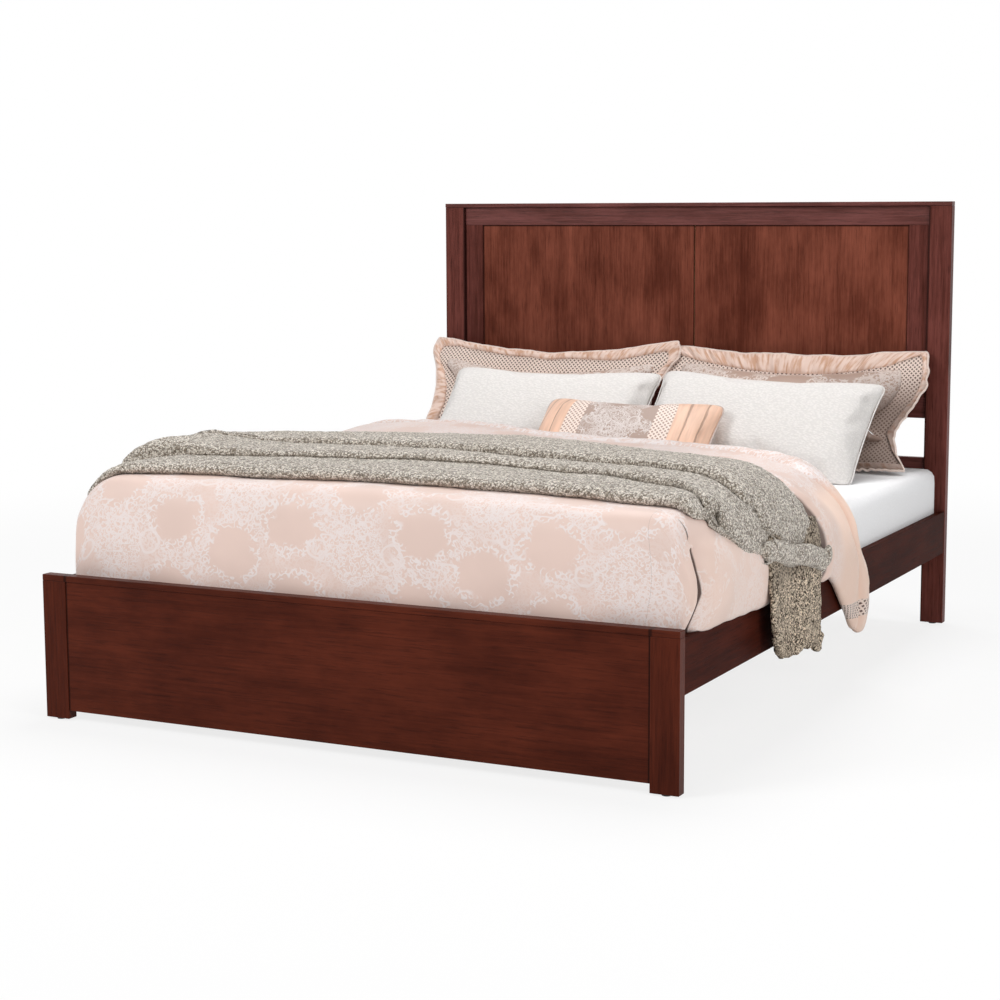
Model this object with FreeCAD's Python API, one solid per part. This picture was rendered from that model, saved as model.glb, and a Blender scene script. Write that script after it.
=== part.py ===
import FreeCAD, Part
import math
import os

# A wooden panel bed for a 160 by 200 cm mattress, made up with its bedding.
# +X is the right-hand side seen from the foot, +Y runs from the foot to the head and +Z is up.
# The origin is on the floor under the middle of the bed. All lengths are millimetres.

V = FreeCAD.Vector
ORIGIN = V(0, 0, 0)
ACROSS = V(1, 0, 0)
ALONG = V(0, 1, 0)
UP = V(0, 0, 1)
LEFT = -1
RIGHT = 1
FOOT = -1
HEAD = 1

# Mattress and the room around it
mattress_width = 1600.0
mattress_length = 2000.0
mattress_thickness = 200.0
mattress_corner_radius = 60.0
mattress_edge_radius = 35.0
mattress_side_gap = 4.0
mattress_head_gap = 4.0
mattress_foot_gap = 46.0

# Posts and boards
post_width = 67.0
post_depth = 30.0
edge_easing = 1.5
glide_radius = 11.0
glide_height = 4.0

# Headboard
headboard_height = 1238.0
headboard_cap_thickness = 12.0
headboard_cap_overhang = 2.0
headboard_frame_recess = 10.0
headboard_top_rail_height = 56.0
headboard_stile_width = 61.0
headboard_panel_recess = 5.0
headboard_panel_thickness = 8.0
headboard_panel_bottom = 608.0
headboard_panel_rail_height = 60.0
headboard_lower_rail_top = 492.0
headboard_lower_rail_height = 110.0
headboard_seam_groove = 4.0
headboard_seam_offset = 27.0
headboard_batten_width = 70.0

# Footboard
footboard_height = 355.0
footboard_cap_thickness = 15.0
footboard_panel_recess = 2.0
footboard_panel_thickness = 22.0
footboard_panel_bottom = 24.0

# Side rails, ledgers and slats
rail_bottom = 214.0
rail_height = 123.0
rail_thickness = 20.0
rail_inset = 1.0
ledger_lift = 2.0
ledger_width = 25.0
ledger_height = 30.0
ledger_end_gap = 20.0
ledger_gap_count = 2
slat_count = 13
slat_width = 90.0
slat_thickness = 18.0
slat_side_gap = 2.0
slat_end_gap = 5.0
strap_width = 30.0
strap_thickness = 1.5
strap_place_share = 0.3

# Centre support
slat_bar_thickness = 20.0
slat_bar_height = 60.0
beam_width = 45.0
beam_height = 60.0
hanger_thickness = 2.5
hanger_ear = 20.0
hanger_reach = 40.0
hanger_screw_shares = (0.3, 0.75)
leg_width = 40.0
leg_floor_gap = 24.0
leg_place_shares = (-0.3, 0.0, 0.3)
leg_bolt_radius = 4.0
leg_bolt_length = 60.0
insert_flange_radius = 11.0
insert_flange_thickness = 1.5
insert_barrel_radius = 5.5
insert_barrel_length = 12.0
leveller_pad_radius = 16.0
leveller_pad_height = 6.0
leveller_stud_radius = 4.0
leveller_stud_length = 52.0
leveller_travel = 12.0
running_clearance = 0.06
stud_bore_clearance = 0.5

# Rail fittings, screws and dowels
plate_width = 14.0
plate_height = 100.0
plate_thickness = 3.0
plate_screw_margin = 8.0
hook_thickness = 3.0
hook_neck_height = 12.0
hook_drop = 8.0
hook_lip_depth = 9.0
hook_slot_height = 24.0
hook_clearance = 0.4
hook_place_shares = (-0.28, 0.12)
screw_head_radius = 4.0
screw_head_height = 2.5
screw_shank_radius = 2.0
screw_tip_length = 5.0
plate_screw_length = 22.0
ledger_screw_length = 40.0
slat_screw_length = 38.0
hanger_screw_length = 16.0
fastener_clearance = 0.1
dowel_radius = 4.0
dowel_length = 40.0
dowel_shares = (0.25, 0.75)

# Comforter
comforter_half_width = 852.0
comforter_loft = 115.0
comforter_crown = 14.0
comforter_shoulder_radius = 160.0
comforter_hem_gap = 3.0
comforter_corner_drop = 205.0
comforter_head_skew = 330.0
comforter_head_lean_share = 0.35
comforter_head_gap = 12.0

# Throw
throw_foot_offset = 265.0
throw_width = 450.0
throw_front_slant_share = 0.13
throw_back_slant_share = 0.19
throw_fold_height = 50.0
throw_under_height = 18.0
throw_right_hem = 410.0
throw_under_hem = 178.0
throw_left_hem = 330.0

# Cushions
sham_width = 850.0
sham_height = 430.0
sham_flange = 60.0
sham_flange_thickness = 8.0
sham_thickness = 150.0
sham_lean = 32.0
sham_seam_offset = 6.0
sham_overlap_share = 0.95
plain_width = 672.0
plain_height = 370.0
plain_thickness = 140.0
plain_gap = 10.0
plain_seam_offset = 15.0
plain_lean = 46.0
oblong_width = 545.0
oblong_height = 305.0
oblong_thickness = 110.0
oblong_lean = 50.0
oblong_shift = 32.0
cushion_edge = 10.0
cushion_draw_in = 16.0
soft_gap = 0.5

# One overrun for every cut that leaves through a face
overrun = 5.0

# Places that follow from the sizes above
mattress_half = mattress_width / 2
rail_inner_x = mattress_half + mattress_side_gap
rail_outer_x = rail_inner_x + rail_thickness
bed_half = rail_outer_x + rail_inset
post_inner_x = bed_half - post_width
bed_space = mattress_length + mattress_head_gap + mattress_foot_gap
foot_back_y = -bed_space / 2
foot_front_y = foot_back_y - post_depth
head_front_y = bed_space / 2
head_back_y = head_front_y + post_depth
headboard_frame_y = head_front_y + headboard_frame_recess
headboard_panel_y = headboard_frame_y + headboard_panel_recess
headboard_panel_back_y = headboard_panel_y + headboard_panel_thickness
footboard_panel_y = foot_front_y + footboard_panel_recess
footboard_panel_back_y = footboard_panel_y + footboard_panel_thickness
foot_bar_back_y = footboard_panel_back_y + slat_bar_thickness
headboard_post_top = headboard_height - headboard_cap_thickness
headboard_top_rail_bottom = headboard_post_top - headboard_top_rail_height
headboard_panel_rail_top = headboard_panel_bottom + headboard_panel_rail_height
headboard_lower_rail_bottom = headboard_lower_rail_top - headboard_lower_rail_height
stile_inner_x = post_inner_x - headboard_stile_width
footboard_post_top = footboard_height - footboard_cap_thickness
rail_top = rail_bottom + rail_height
ledger_bottom = rail_bottom + ledger_lift
ledger_top = ledger_bottom + ledger_height
ledger_inner_x = rail_inner_x - ledger_width
slat_bar_bottom = ledger_top - slat_bar_height
beam_bottom = ledger_top - beam_height
slat_top = ledger_top + slat_thickness
mattress_top = slat_top + mattress_thickness
mattress_head_y = head_front_y - mattress_head_gap
mattress_foot_y = mattress_head_y - mattress_length
deck_foot_y = foot_bar_back_y + slat_end_gap
deck_head_y = head_front_y - slat_end_gap
comforter_top = mattress_top + comforter_loft

os.makedirs("parts", exist_ok=True)


def save(name, shape):
    shape.exportStep(f"parts/{name}.step")


def block(x0, x1, y0, y1, z0, z1):
    return Part.makeBox(x1 - x0, y1 - y0, z1 - z0, V(x0, y0, z0))


def board(x0, x1, y0, y1, z0, z1):
    """A planed board with eased edges."""
    plain = block(x0, x1, y0, y1, z0, z1)
    return plain.makeFillet(edge_easing, plain.Edges)


def sided(side, inner, outer):
    """The span from inner to outer on one side of the bed, lowest first."""
    return (inner, outer) if side == RIGHT else (-outer, -inner)


def group(solids):
    return Part.makeCompound(solids)


# Screws and dowels


def screw(point, direction, length, clearance=0.0):
    """A countersunk wood screw, its head flush at the point."""
    shank_end = length - screw_tip_length
    head = Part.makeCone(
        screw_head_radius + clearance, screw_shank_radius + clearance, screw_head_height, point, direction
    )
    shank = Part.makeCylinder(screw_shank_radius + clearance, shank_end, point, direction)
    tip_start = point + direction * shank_end
    tip = Part.makeCone(screw_shank_radius + clearance, clearance, screw_tip_length, tip_start, direction)
    return head.fuse([shank, tip]).removeSplitter()


def screws_and_holes(places, length):
    """The screws at a list of (point, direction) and the holes that take them."""
    made = [screw(point, direction, length) for point, direction in places]
    holes = [screw(point, direction, length, fastener_clearance) for point, direction in places]
    return made, holes


def dowels_and_holes(y, z_low, z_high):
    """Dowels across both joints between the posts and a cross member, with their holes."""
    made = []
    holes = []
    hole_radius = dowel_radius + fastener_clearance
    hole_length = dowel_length + 2 * fastener_clearance
    for side in (LEFT, RIGHT):
        start_x = side * post_inner_x - dowel_length / 2
        for share in dowel_shares:
            start = V(start_x, y, z_low + share * (z_high - z_low))
            hole_start = start - ACROSS * fastener_clearance
            made.append(Part.makeCylinder(dowel_radius, dowel_length, start, ACROSS))
            holes.append(Part.makeCylinder(hole_radius, hole_length, hole_start, ACROSS))
    return made, holes


# Hook-on fittings between the rails and the posts. Each is drawn at the origin with the post on its
# +Y side, then turned and moved to its corner of the bed.


def at_corner(shape, side, end):
    moved = shape.copy()
    if end == FOOT:
        moved.rotate(ORIGIN, UP, 180)
    y = head_front_y if end == HEAD else foot_back_y
    moved.translate(V(side * (rail_inner_x + rail_thickness / 2), y, rail_bottom + rail_height / 2))
    return moved


def plate(y0, y1):
    return block(-plate_width / 2, plate_width / 2, y0, y1, -plate_height / 2, plate_height / 2)


def plate_screw_points():
    reach = plate_height / 2 - plate_screw_margin
    return [V(0, 0, -reach), V(0, 0, reach)]


def hook_plate():
    half = hook_thickness / 2
    lip_front = plate_thickness + hook_clearance
    lip_back = lip_front + hook_lip_depth
    solid = plate(-plate_thickness, 0)
    for share in hook_place_shares:
        low = share * plate_height
        high = low + hook_neck_height
        neck = block(-half, half, 0, lip_front, low, high)
        lip = block(-half, half, lip_front, lip_back, low - hook_drop, high)
        solid = solid.fuse([neck, lip])
    return solid.removeSplitter()


def slot_plate():
    half = hook_thickness / 2 + hook_clearance
    slot_end = plate_thickness + overrun
    solid = plate(0, plate_thickness)
    for share in hook_place_shares:
        low = share * plate_height
        slot = block(-half, half, -overrun, slot_end, low - hook_clearance, low + hook_slot_height)
        solid = solid.cut(slot)
    return solid


def post_mortise():
    """The recess for a slot plate and the pockets behind its slots."""
    half = hook_thickness / 2 + hook_clearance
    depth = plate_thickness + hook_lip_depth + 2 * hook_clearance
    pockets = []
    for share in hook_place_shares:
        low = share * plate_height
        pockets.append(block(-half, half, 0, depth, low - hook_drop - hook_clearance, low + hook_slot_height))
    return plate(0, plate_thickness).fuse(pockets)


corners = [(side, end) for side in (LEFT, RIGHT) for end in (FOOT, HEAD)]
rail_plate_screws, rail_plate_holes = screws_and_holes(
    [(point, -ALONG) for point in plate_screw_points()], plate_screw_length
)
post_plate_screws, post_plate_holes = screws_and_holes(
    [(point, ALONG) for point in plate_screw_points()], plate_screw_length
)


def corner_copies(shapes, side=None, end=None):
    """The shapes repeated at every corner, or only at those of one side or end."""
    return [
        at_corner(shape, s, e)
        for s, e in corners
        for shape in shapes
        if side in (None, s) and end in (None, e)
    ]


save("rail_hook_plates", group(corner_copies([hook_plate().cut(rail_plate_holes)])))
save("post_slot_plates", group(corner_copies([slot_plate().cut(post_plate_holes)])))


# Centre beam, its hangers and the two bars that carry them

beam_foot_y = foot_bar_back_y + hanger_thickness
beam_head_y = headboard_frame_y - hanger_thickness
beam_half = beam_width / 2
hanger_half = beam_half + hanger_thickness


def hanger(end):
    """A folded steel hanger screwed to a bar, with the beam's end in its cradle."""
    face_y = foot_bar_back_y if end == FOOT else headboard_frame_y
    inward = -end
    plate_span = sorted((face_y, face_y + inward * hanger_thickness))
    cradle_span = sorted((face_y, face_y + inward * hanger_reach))
    low = beam_bottom - hanger_thickness
    back = block(-hanger_half - hanger_ear, hanger_half + hanger_ear, *plate_span, low, ledger_top)
    floor = block(-hanger_half, hanger_half, *cradle_span, low, beam_bottom)
    cheeks = [
        block(*sided(side, beam_half, hanger_half), *cradle_span, low, ledger_top) for side in (LEFT, RIGHT)
    ]
    return back.fuse([floor] + cheeks).removeSplitter()


def hanger_screw_places(end):
    face_y = beam_foot_y if end == FOOT else beam_head_y
    x = hanger_half + hanger_ear / 2
    return [
        (V(side * x, face_y, beam_bottom + share * beam_height), ALONG * end)
        for side in (LEFT, RIGHT)
        for share in hanger_screw_shares
    ]


foot_hanger_screws, foot_hanger_holes = screws_and_holes(hanger_screw_places(FOOT), hanger_screw_length)
head_hanger_screws, head_hanger_holes = screws_and_holes(hanger_screw_places(HEAD), hanger_screw_length)
save("beam_hangers", group([hanger(FOOT).cut(foot_hanger_holes), hanger(HEAD).cut(head_hanger_holes)]))
save(
    "bracket_screws",
    group(corner_copies(rail_plate_screws + post_plate_screws) + foot_hanger_screws + head_hanger_screws),
)

beam_length = beam_head_y - beam_foot_y
beam_middle_y = (beam_head_y + beam_foot_y) / 2
leg_places = [beam_middle_y + share * beam_length for share in leg_place_shares]
leg_bolt_half = leg_bolt_length / 2


def leg_bolt(y, clearance=0.0):
    start = V(0, y, beam_bottom - leg_bolt_half - clearance)
    return Part.makeCylinder(leg_bolt_radius + clearance, leg_bolt_length + 2 * clearance, start)


def centre_leg(y):
    """A square leg, bored at the top for its bolt and at the bottom for the insert and the stud."""
    half = leg_width / 2
    stud_room = leveller_pad_height + leveller_stud_length + 2 * leveller_travel - leg_floor_gap
    foot = V(0, y, leg_floor_gap)
    bore = Part.makeCylinder(leveller_stud_radius + stud_bore_clearance, stud_room, foot)
    socket = Part.makeCylinder(insert_barrel_radius, insert_barrel_length, foot)
    leg = board(-half, half, y - half, y + half, leg_floor_gap, beam_bottom)
    return leg.cut([bore, socket, leg_bolt(y, fastener_clearance)])


def leg_insert(y):
    """A threaded insert: a flange under the leg and a barrel in its end."""
    flange_start = V(0, y, leg_floor_gap - insert_flange_thickness)
    flange = Part.makeCylinder(insert_flange_radius, insert_flange_thickness, flange_start)
    barrel = Part.makeCylinder(insert_barrel_radius, insert_barrel_length, V(0, y, leg_floor_gap))
    length = insert_flange_thickness + insert_barrel_length
    bore = Part.makeCylinder(leveller_stud_radius + running_clearance, length, flange_start)
    return flange.fuse(barrel).cut(bore).removeSplitter()


def leveller(y):
    """A levelling foot: a round pad on a threaded stud."""
    pad = Part.makeCylinder(leveller_pad_radius, leveller_pad_height, V(0, y, 0))
    pad = pad.makeFillet(edge_easing, pad.Edges)
    stud = Part.makeCylinder(leveller_stud_radius, leveller_stud_length, V(0, y, leveller_pad_height))
    return pad.fuse(stud).removeSplitter()


beam = board(-beam_half, beam_half, beam_foot_y, beam_head_y, beam_bottom, ledger_top)
save("centre_beam", beam.cut([leg_bolt(y, fastener_clearance) for y in leg_places]))
save("centre_legs", group([centre_leg(y) for y in leg_places]))
save("leg_bolts", group([leg_bolt(y) for y in leg_places]))
save("leg_inserts", group([leg_insert(y) for y in leg_places]))
for name, y in zip(("foot", "middle", "head"), leg_places):
    save(f"leveller_{name}", leveller(y))


# Headboard: two posts that run down as legs, a framed pair of panels and a lower rail

headboard_dowels = []
headboard_holes = []


def headboard_member(name, z_low, z_high, extra_cuts=()):
    """A cross member between the posts, set back from their front and dowelled into them."""
    y_middle = (headboard_frame_y + head_back_y) / 2
    dowels, holes = dowels_and_holes(y_middle, z_low, z_high)
    headboard_dowels.extend(dowels)
    headboard_holes.extend(holes)
    member = board(-post_inner_x, post_inner_x, headboard_frame_y, head_back_y, z_low, z_high)
    save(name, member.cut(holes + list(extra_cuts)))


headboard_member("headboard_top_rail", headboard_top_rail_bottom, headboard_post_top)
headboard_member("headboard_panel_rail", headboard_panel_bottom, headboard_panel_rail_top)
headboard_member("headboard_lower_rail", headboard_lower_rail_bottom, headboard_lower_rail_top)
headboard_member("headboard_slat_bar", slat_bar_bottom, ledger_top, head_hanger_holes)
save("headboard_dowels", group(headboard_dowels))

for side, word in ((LEFT, "left"), (RIGHT, "right")):
    post_span = sided(side, post_inner_x, bed_half)
    post = board(*post_span, head_front_y, head_back_y, glide_height, headboard_post_top)
    mortises = corner_copies([post_mortise()] + post_plate_holes, side, HEAD)
    save(f"headboard_post_{word}", post.cut(mortises + headboard_holes))
    stile_span = sided(side, stile_inner_x, post_inner_x)
    stile = board(
        *stile_span, headboard_frame_y, head_back_y, headboard_panel_rail_top, headboard_top_rail_bottom
    )
    save(f"headboard_stile_{word}", stile)
    seam_x = headboard_seam_offset + side * headboard_seam_groove / 2
    panel_span = sorted((seam_x, side * stile_inner_x))
    panel = board(
        *panel_span,
        headboard_panel_y,
        headboard_panel_back_y,
        headboard_panel_rail_top,
        headboard_top_rail_bottom,
    )
    save(f"headboard_panel_{word}", panel)

batten_half = headboard_batten_width / 2
batten = board(
    headboard_seam_offset - batten_half,
    headboard_seam_offset + batten_half,
    headboard_panel_back_y,
    head_back_y,
    headboard_panel_rail_top,
    headboard_top_rail_bottom,
)
save("headboard_back_batten", batten)
headboard_cap_front_y = head_front_y - headboard_cap_overhang
headboard_cap = board(
    -bed_half, bed_half, headboard_cap_front_y, head_back_y, headboard_post_top, headboard_height
)
save("headboard_top_cap", headboard_cap)


# Footboard: two short posts, a wide panel between them, a cap and the bar behind

panel_y_middle = (footboard_panel_y + footboard_panel_back_y) / 2
panel_dowels, panel_holes = dowels_and_holes(panel_y_middle, footboard_panel_bottom, footboard_post_top)
footboard_panel = board(
    -post_inner_x,
    post_inner_x,
    footboard_panel_y,
    footboard_panel_back_y,
    footboard_panel_bottom,
    footboard_post_top,
)
save("footboard_panel", footboard_panel.cut(panel_holes))
foot_bar = board(
    -post_inner_x, post_inner_x, footboard_panel_back_y, foot_bar_back_y, slat_bar_bottom, ledger_top
)
save("footboard_slat_bar", foot_bar.cut(foot_hanger_holes))
save("footboard_dowels", group(panel_dowels))
for side, word in ((LEFT, "left"), (RIGHT, "right")):
    post_span = sided(side, post_inner_x, bed_half)
    post = board(*post_span, foot_front_y, foot_back_y, glide_height, footboard_post_top)
    mortises = corner_copies([post_mortise()] + post_plate_holes, side, FOOT)
    save(f"footboard_post_{word}", post.cut(mortises + panel_holes))
footboard_cap = board(-bed_half, bed_half, foot_front_y, foot_back_y, footboard_post_top, footboard_height)
save("footboard_top_cap", footboard_cap)


def post_glide(side, end):
    """A nylon glide nailed under a post."""
    y = (head_front_y + head_back_y) / 2 if end == HEAD else (foot_front_y + foot_back_y) / 2
    foot = V(side * (post_inner_x + post_width / 2), y, 0)
    glide = Part.makeCylinder(glide_radius, glide_height, foot)
    rim = [edge for edge in glide.Edges if edge.BoundBox.ZMax < glide_height / 2]
    return glide.makeFillet(edge_easing, rim)


save("post_glides", group([post_glide(side, end) for side, end in corners]))


# Side rails with their ledgers, and the slats that lie on them

ledger_foot_y = foot_back_y + ledger_end_gap
ledger_head_y = head_front_y - ledger_end_gap
ledger_middle_z = (ledger_bottom + ledger_top) / 2

slat_step = (deck_head_y - deck_foot_y - slat_width) / (slat_count - 1)
slat_starts = [deck_foot_y + i * slat_step for i in range(slat_count)]
slat_screw_x = (ledger_inner_x + rail_inner_x) / 2


def ledger_screw_places(side):
    """Screws through the ledger into the rail, under every other gap between the slats."""
    to_gap = (slat_width + slat_step) / 2
    return [
        (V(side * ledger_inner_x, start + to_gap, ledger_middle_z), ACROSS * side)
        for start in slat_starts[:-1:ledger_gap_count]
    ]


def slat_screw_places(side):
    return [(V(side * slat_screw_x, start + slat_width / 2, slat_top), -UP) for start in slat_starts]


slat_screws = {}
slat_holes = {}
ledger_screws = []
for side, word in ((LEFT, "left"), (RIGHT, "right")):
    slat_screws[side], slat_holes[side] = screws_and_holes(slat_screw_places(side), slat_screw_length)
    screws, holes = screws_and_holes(ledger_screw_places(side), ledger_screw_length)
    ledger_screws.extend(screws)
    rail = board(*sided(side, rail_inner_x, rail_outer_x), foot_back_y, head_front_y, rail_bottom, rail_top)
    rail_ends = corner_copies([plate(-plate_thickness, 0)] + rail_plate_holes, side)
    save(f"side_rail_{word}", rail.cut(rail_ends + holes))
    ledger_span = sided(side, ledger_inner_x, rail_inner_x)
    ledger = board(*ledger_span, ledger_foot_y, ledger_head_y, ledger_bottom, ledger_top)
    save(f"slat_ledger_{word}", ledger.cut(holes + slat_holes[side]))
save("ledger_screws", group(ledger_screws))
save("slat_screws", group(slat_screws[LEFT] + slat_screws[RIGHT]))

slat_half = rail_inner_x - slat_side_gap
for i, start in enumerate(slat_starts):
    slat = board(-slat_half, slat_half, start, start + slat_width, ledger_top, slat_top)
    save(f"slat_{i + 1:02d}", slat.cut([slat_holes[LEFT][i], slat_holes[RIGHT][i]]))


def slat_strap(side):
    """Webbing stapled along the undersides of the slats, which keeps their spacing."""
    middle = side * strap_place_share * mattress_width
    half = strap_width / 2
    low = ledger_top - strap_thickness
    return block(middle - half, middle + half, slat_starts[0], slat_starts[-1] + slat_width, low, ledger_top)


save("slat_straps", group([slat_strap(LEFT), slat_strap(RIGHT)]))


# Mattress


def mattress():
    slab = block(-mattress_half, mattress_half, mattress_foot_y, mattress_head_y, slat_top, mattress_top)
    upright = [edge for edge in slab.Edges if edge.BoundBox.ZLength > mattress_thickness / 2]
    slab = slab.makeFillet(mattress_corner_radius, upright)
    level = [edge for edge in slab.Edges if edge.BoundBox.ZLength < mattress_thickness / 2]
    return slab.makeFillet(mattress_edge_radius, level)


save("mattress", mattress())


# Cushions, each drawn upright at the origin and then leaned back


def drawn_in_outline(width, height):
    """A rectangle whose four sides curve inwards between its corners."""
    x = width / 2
    z = height / 2
    points = [V(-x, 0, -z), V(x, 0, -z), V(x, 0, z), V(-x, 0, z)]
    middles = [
        V(0, 0, -z + cushion_draw_in),
        V(x - cushion_draw_in, 0, 0),
        V(0, 0, z - cushion_draw_in),
        V(-x + cushion_draw_in, 0, 0),
    ]
    ring = points + points[:1]
    edges = [Part.Arc(ring[i], middles[i], ring[i + 1]).toShape() for i in range(len(points))]
    return Part.Wire(edges)


def flat_pad(width, height, thickness):
    face = Part.Face(drawn_in_outline(width, height))
    face.translate(V(0, -thickness / 2, 0))
    return face.extrude(V(0, thickness, 0))


cushion_place_shares = (-1.0, -0.82, -0.5, 0.0, 0.5, 0.82, 1.0)
cushion_fullness_shares = (0.05, 0.5, 0.88, 1.0, 0.88, 0.5, 0.05)


def lens_section(x, height, thickness):
    """A lens-shaped slice of a cushion across its width, with a narrow seam at its top and bottom."""
    z = height / 2
    bulge = thickness / 2
    seam = cushion_edge / 2
    front = Part.Arc(V(x, -seam, -z), V(x, -bulge, 0), V(x, -seam, z)).toShape()
    top = Part.makeLine(V(x, -seam, z), V(x, seam, z))
    back = Part.Arc(V(x, seam, z), V(x, bulge, 0), V(x, seam, -z)).toShape()
    bottom = Part.makeLine(V(x, seam, -z), V(x, -seam, -z))
    return Part.Wire([front, top, back, bottom])


def cushion(width, height, thickness):
    """A crowned cushion with drawn-in sides."""
    sections = []
    for place, fullness in zip(cushion_place_shares, cushion_fullness_shares):
        depth = cushion_edge + fullness * (thickness - cushion_edge)
        sections.append(lens_section(place * width / 2, height, depth))
    body = Part.makeLoft(sections, True, True)
    return body.common(flat_pad(width, height, thickness + overrun))


def sham():
    """A cushion with a flat flange sewn round it."""
    body = cushion(sham_width - 2 * sham_flange, sham_height - 2 * sham_flange, sham_thickness)
    return body.fuse(flat_pad(sham_width, sham_height, sham_flange_thickness)).removeSplitter()


def turned(shape, degrees):
    copy = shape.copy()
    copy.rotate(ORIGIN, ACROSS, degrees)
    return copy


def leaned_on_mattress(shape, lean):
    """A cushion leaned back by some degrees, its lowest edge on the mattress."""
    leaned = turned(shape, -lean)
    leaned.translate(V(0, 0, mattress_top + soft_gap - leaned.optimalBoundingBox().ZMin))
    return leaned


def in_front_of(shape, other, lean):
    """Move a cushion along the bed until it leans on the front of another, which leans by some degrees."""
    face = turned(other, lean).optimalBoundingBox().YMin
    back = turned(shape, lean).optimalBoundingBox().YMax
    moved = shape.copy()
    moved.translate(V(0, (face - soft_gap - back) / math.cos(math.radians(lean)), 0))
    return moved


def shifted(shape, x, y=0.0):
    copy = shape.copy()
    copy.translate(V(x, y, 0))
    return copy


right_sham = leaned_on_mattress(sham(), sham_lean)
right_sham.translate(V(0, head_front_y - soft_gap - right_sham.optimalBoundingBox().YMax, 0))
flange_step = (sham_flange_thickness + soft_gap) / math.cos(math.radians(sham_lean))
left_sham = shifted(right_sham, -sham_seam_offset - sham_width / 2, -flange_step)
right_sham = shifted(right_sham, sham_width / 2 - sham_seam_offset - sham_overlap_share * sham_flange)
save("sham_left", left_sham)
save("sham_right", right_sham)

plain = leaned_on_mattress(cushion(plain_width, plain_height, plain_thickness), plain_lean)
plain = in_front_of(plain, left_sham, sham_lean)
plain_x = (plain_width + plain_gap) / 2
save("plain_cushion_left", shifted(plain, plain_seam_offset - plain_x))
save("plain_cushion_right", shifted(plain, plain_seam_offset + plain_x))

oblong = leaned_on_mattress(cushion(oblong_width, oblong_height, oblong_thickness), oblong_lean)
oblong = shifted(in_front_of(oblong, plain, plain_lean), oblong_shift)
save("oblong_cushion", oblong)


# Comforter: a thick quilt over the mattress, its foot end inside the footboard and its sides over the rails


def drape_section(y, slant, half_width, top, hem_left, hem_right, radius, lean=0.0):
    """A slice across the bed: two hems, two rounded shoulders and a slightly crowned top.
    The slice may slant along the bed from side to side, and lean towards the head on its way down."""

    def at(x, z):
        return V(x, y + slant * x + lean * (top - z), z)

    knee = half_width - radius
    spring = top - radius
    bend_share = math.sqrt(0.5)
    bend_x = knee + bend_share * radius
    bend_z = spring + bend_share * radius
    edges = [
        Part.makeLine(at(half_width, hem_right), at(half_width, spring)),
        Part.Arc(at(half_width, spring), at(bend_x, bend_z), at(knee, top)).toShape(),
        Part.Arc(at(knee, top), at(0, top + comforter_crown), at(-knee, top)).toShape(),
        Part.Arc(at(-knee, top), at(-bend_x, bend_z), at(-half_width, spring)).toShape(),
        Part.makeLine(at(-half_width, spring), at(-half_width, hem_left)),
        Part.makeLine(at(-half_width, hem_left), at(half_width, hem_right)),
    ]
    return Part.Wire(edges)


# Along the comforter from foot to head: its length, width, rise over the mattress and drop of the hem
comforter_shares = (
    (0.0, 0.89, 0.6, 0.0),
    (0.01, 0.9, 0.8, 0.0),
    (0.035, 0.925, 0.93, 0.0),
    (0.08, 0.965, 1.0, 0.0),
    (0.16, 1.0, 1.0, 0.0),
    (0.3, 0.985, 1.0, 0.03),
    (0.5, 1.0, 1.0, 0.12),
    (0.7, 0.98, 1.0, 0.55),
    (0.85, 1.0, 1.0, 1.0),
    (0.965, 0.985, 0.95, 1.0),
    (1.0, 0.965, 0.55, 0.95),
)
comforter_foot_y = foot_back_y + soft_gap
comforter_slant = -comforter_head_skew / (2 * comforter_half_width)
oblong_front = oblong.optimalBoundingBox().YMin + comforter_slant * oblong_width / 2
plain_reach = plain_seam_offset + plain_x + plain_width / 2
plain_front = plain.optimalBoundingBox().YMin + comforter_slant * plain_reach
comforter_head_reach = comforter_head_gap + comforter_head_lean_share * comforter_loft
comforter_head_y = min(oblong_front, plain_front) - comforter_head_reach
comforter_length = comforter_head_y - comforter_foot_y
comforter_hem = rail_top + comforter_hem_gap


def comforter_block(grow, extra_drop):
    """Everything inside the comforter's outer skin, grown by a gap and with its hems let down."""
    sections = []
    for along, width, rise, drop in comforter_shares:
        hem = comforter_hem - drop * comforter_corner_drop - extra_drop
        sections.append(
            drape_section(
                comforter_foot_y + along * comforter_length,
                along * comforter_slant,
                width * comforter_half_width + grow,
                mattress_top + rise * comforter_loft + grow,
                hem,
                hem,
                comforter_shoulder_radius + grow,
                along * comforter_head_lean_share,
            )
        )
    return Part.makeLoft(sections, True, True)


far_head_y = head_back_y + overrun
under_mattress = block(
    -mattress_half - soft_gap,
    mattress_half + soft_gap,
    mattress_foot_y - soft_gap,
    far_head_y,
    0,
    mattress_top,
)
under_rails = block(
    -bed_half - soft_gap, bed_half + soft_gap, foot_front_y, far_head_y, 0, rail_top + soft_gap
)
save("comforter", comforter_block(0, 0).cut([under_mattress, under_rails]))


# Throw: a knitted band laid slantwise over the comforter in long folds, its ends hanging at both sides

throw_fold_shares = (
    (0.0, 0.3),
    (0.08, 0.6),
    (0.2, 0.9),
    (0.33, 0.5),
    (0.5, 1.0),
    (0.64, 0.55),
    (0.8, 0.85),
    (0.93, 0.55),
    (1.0, 0.25),
)
throw_under_shares = ((0.06, 1.0), (0.3, 0.8), (0.6, 1.0), (0.94, 0.8))


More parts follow.
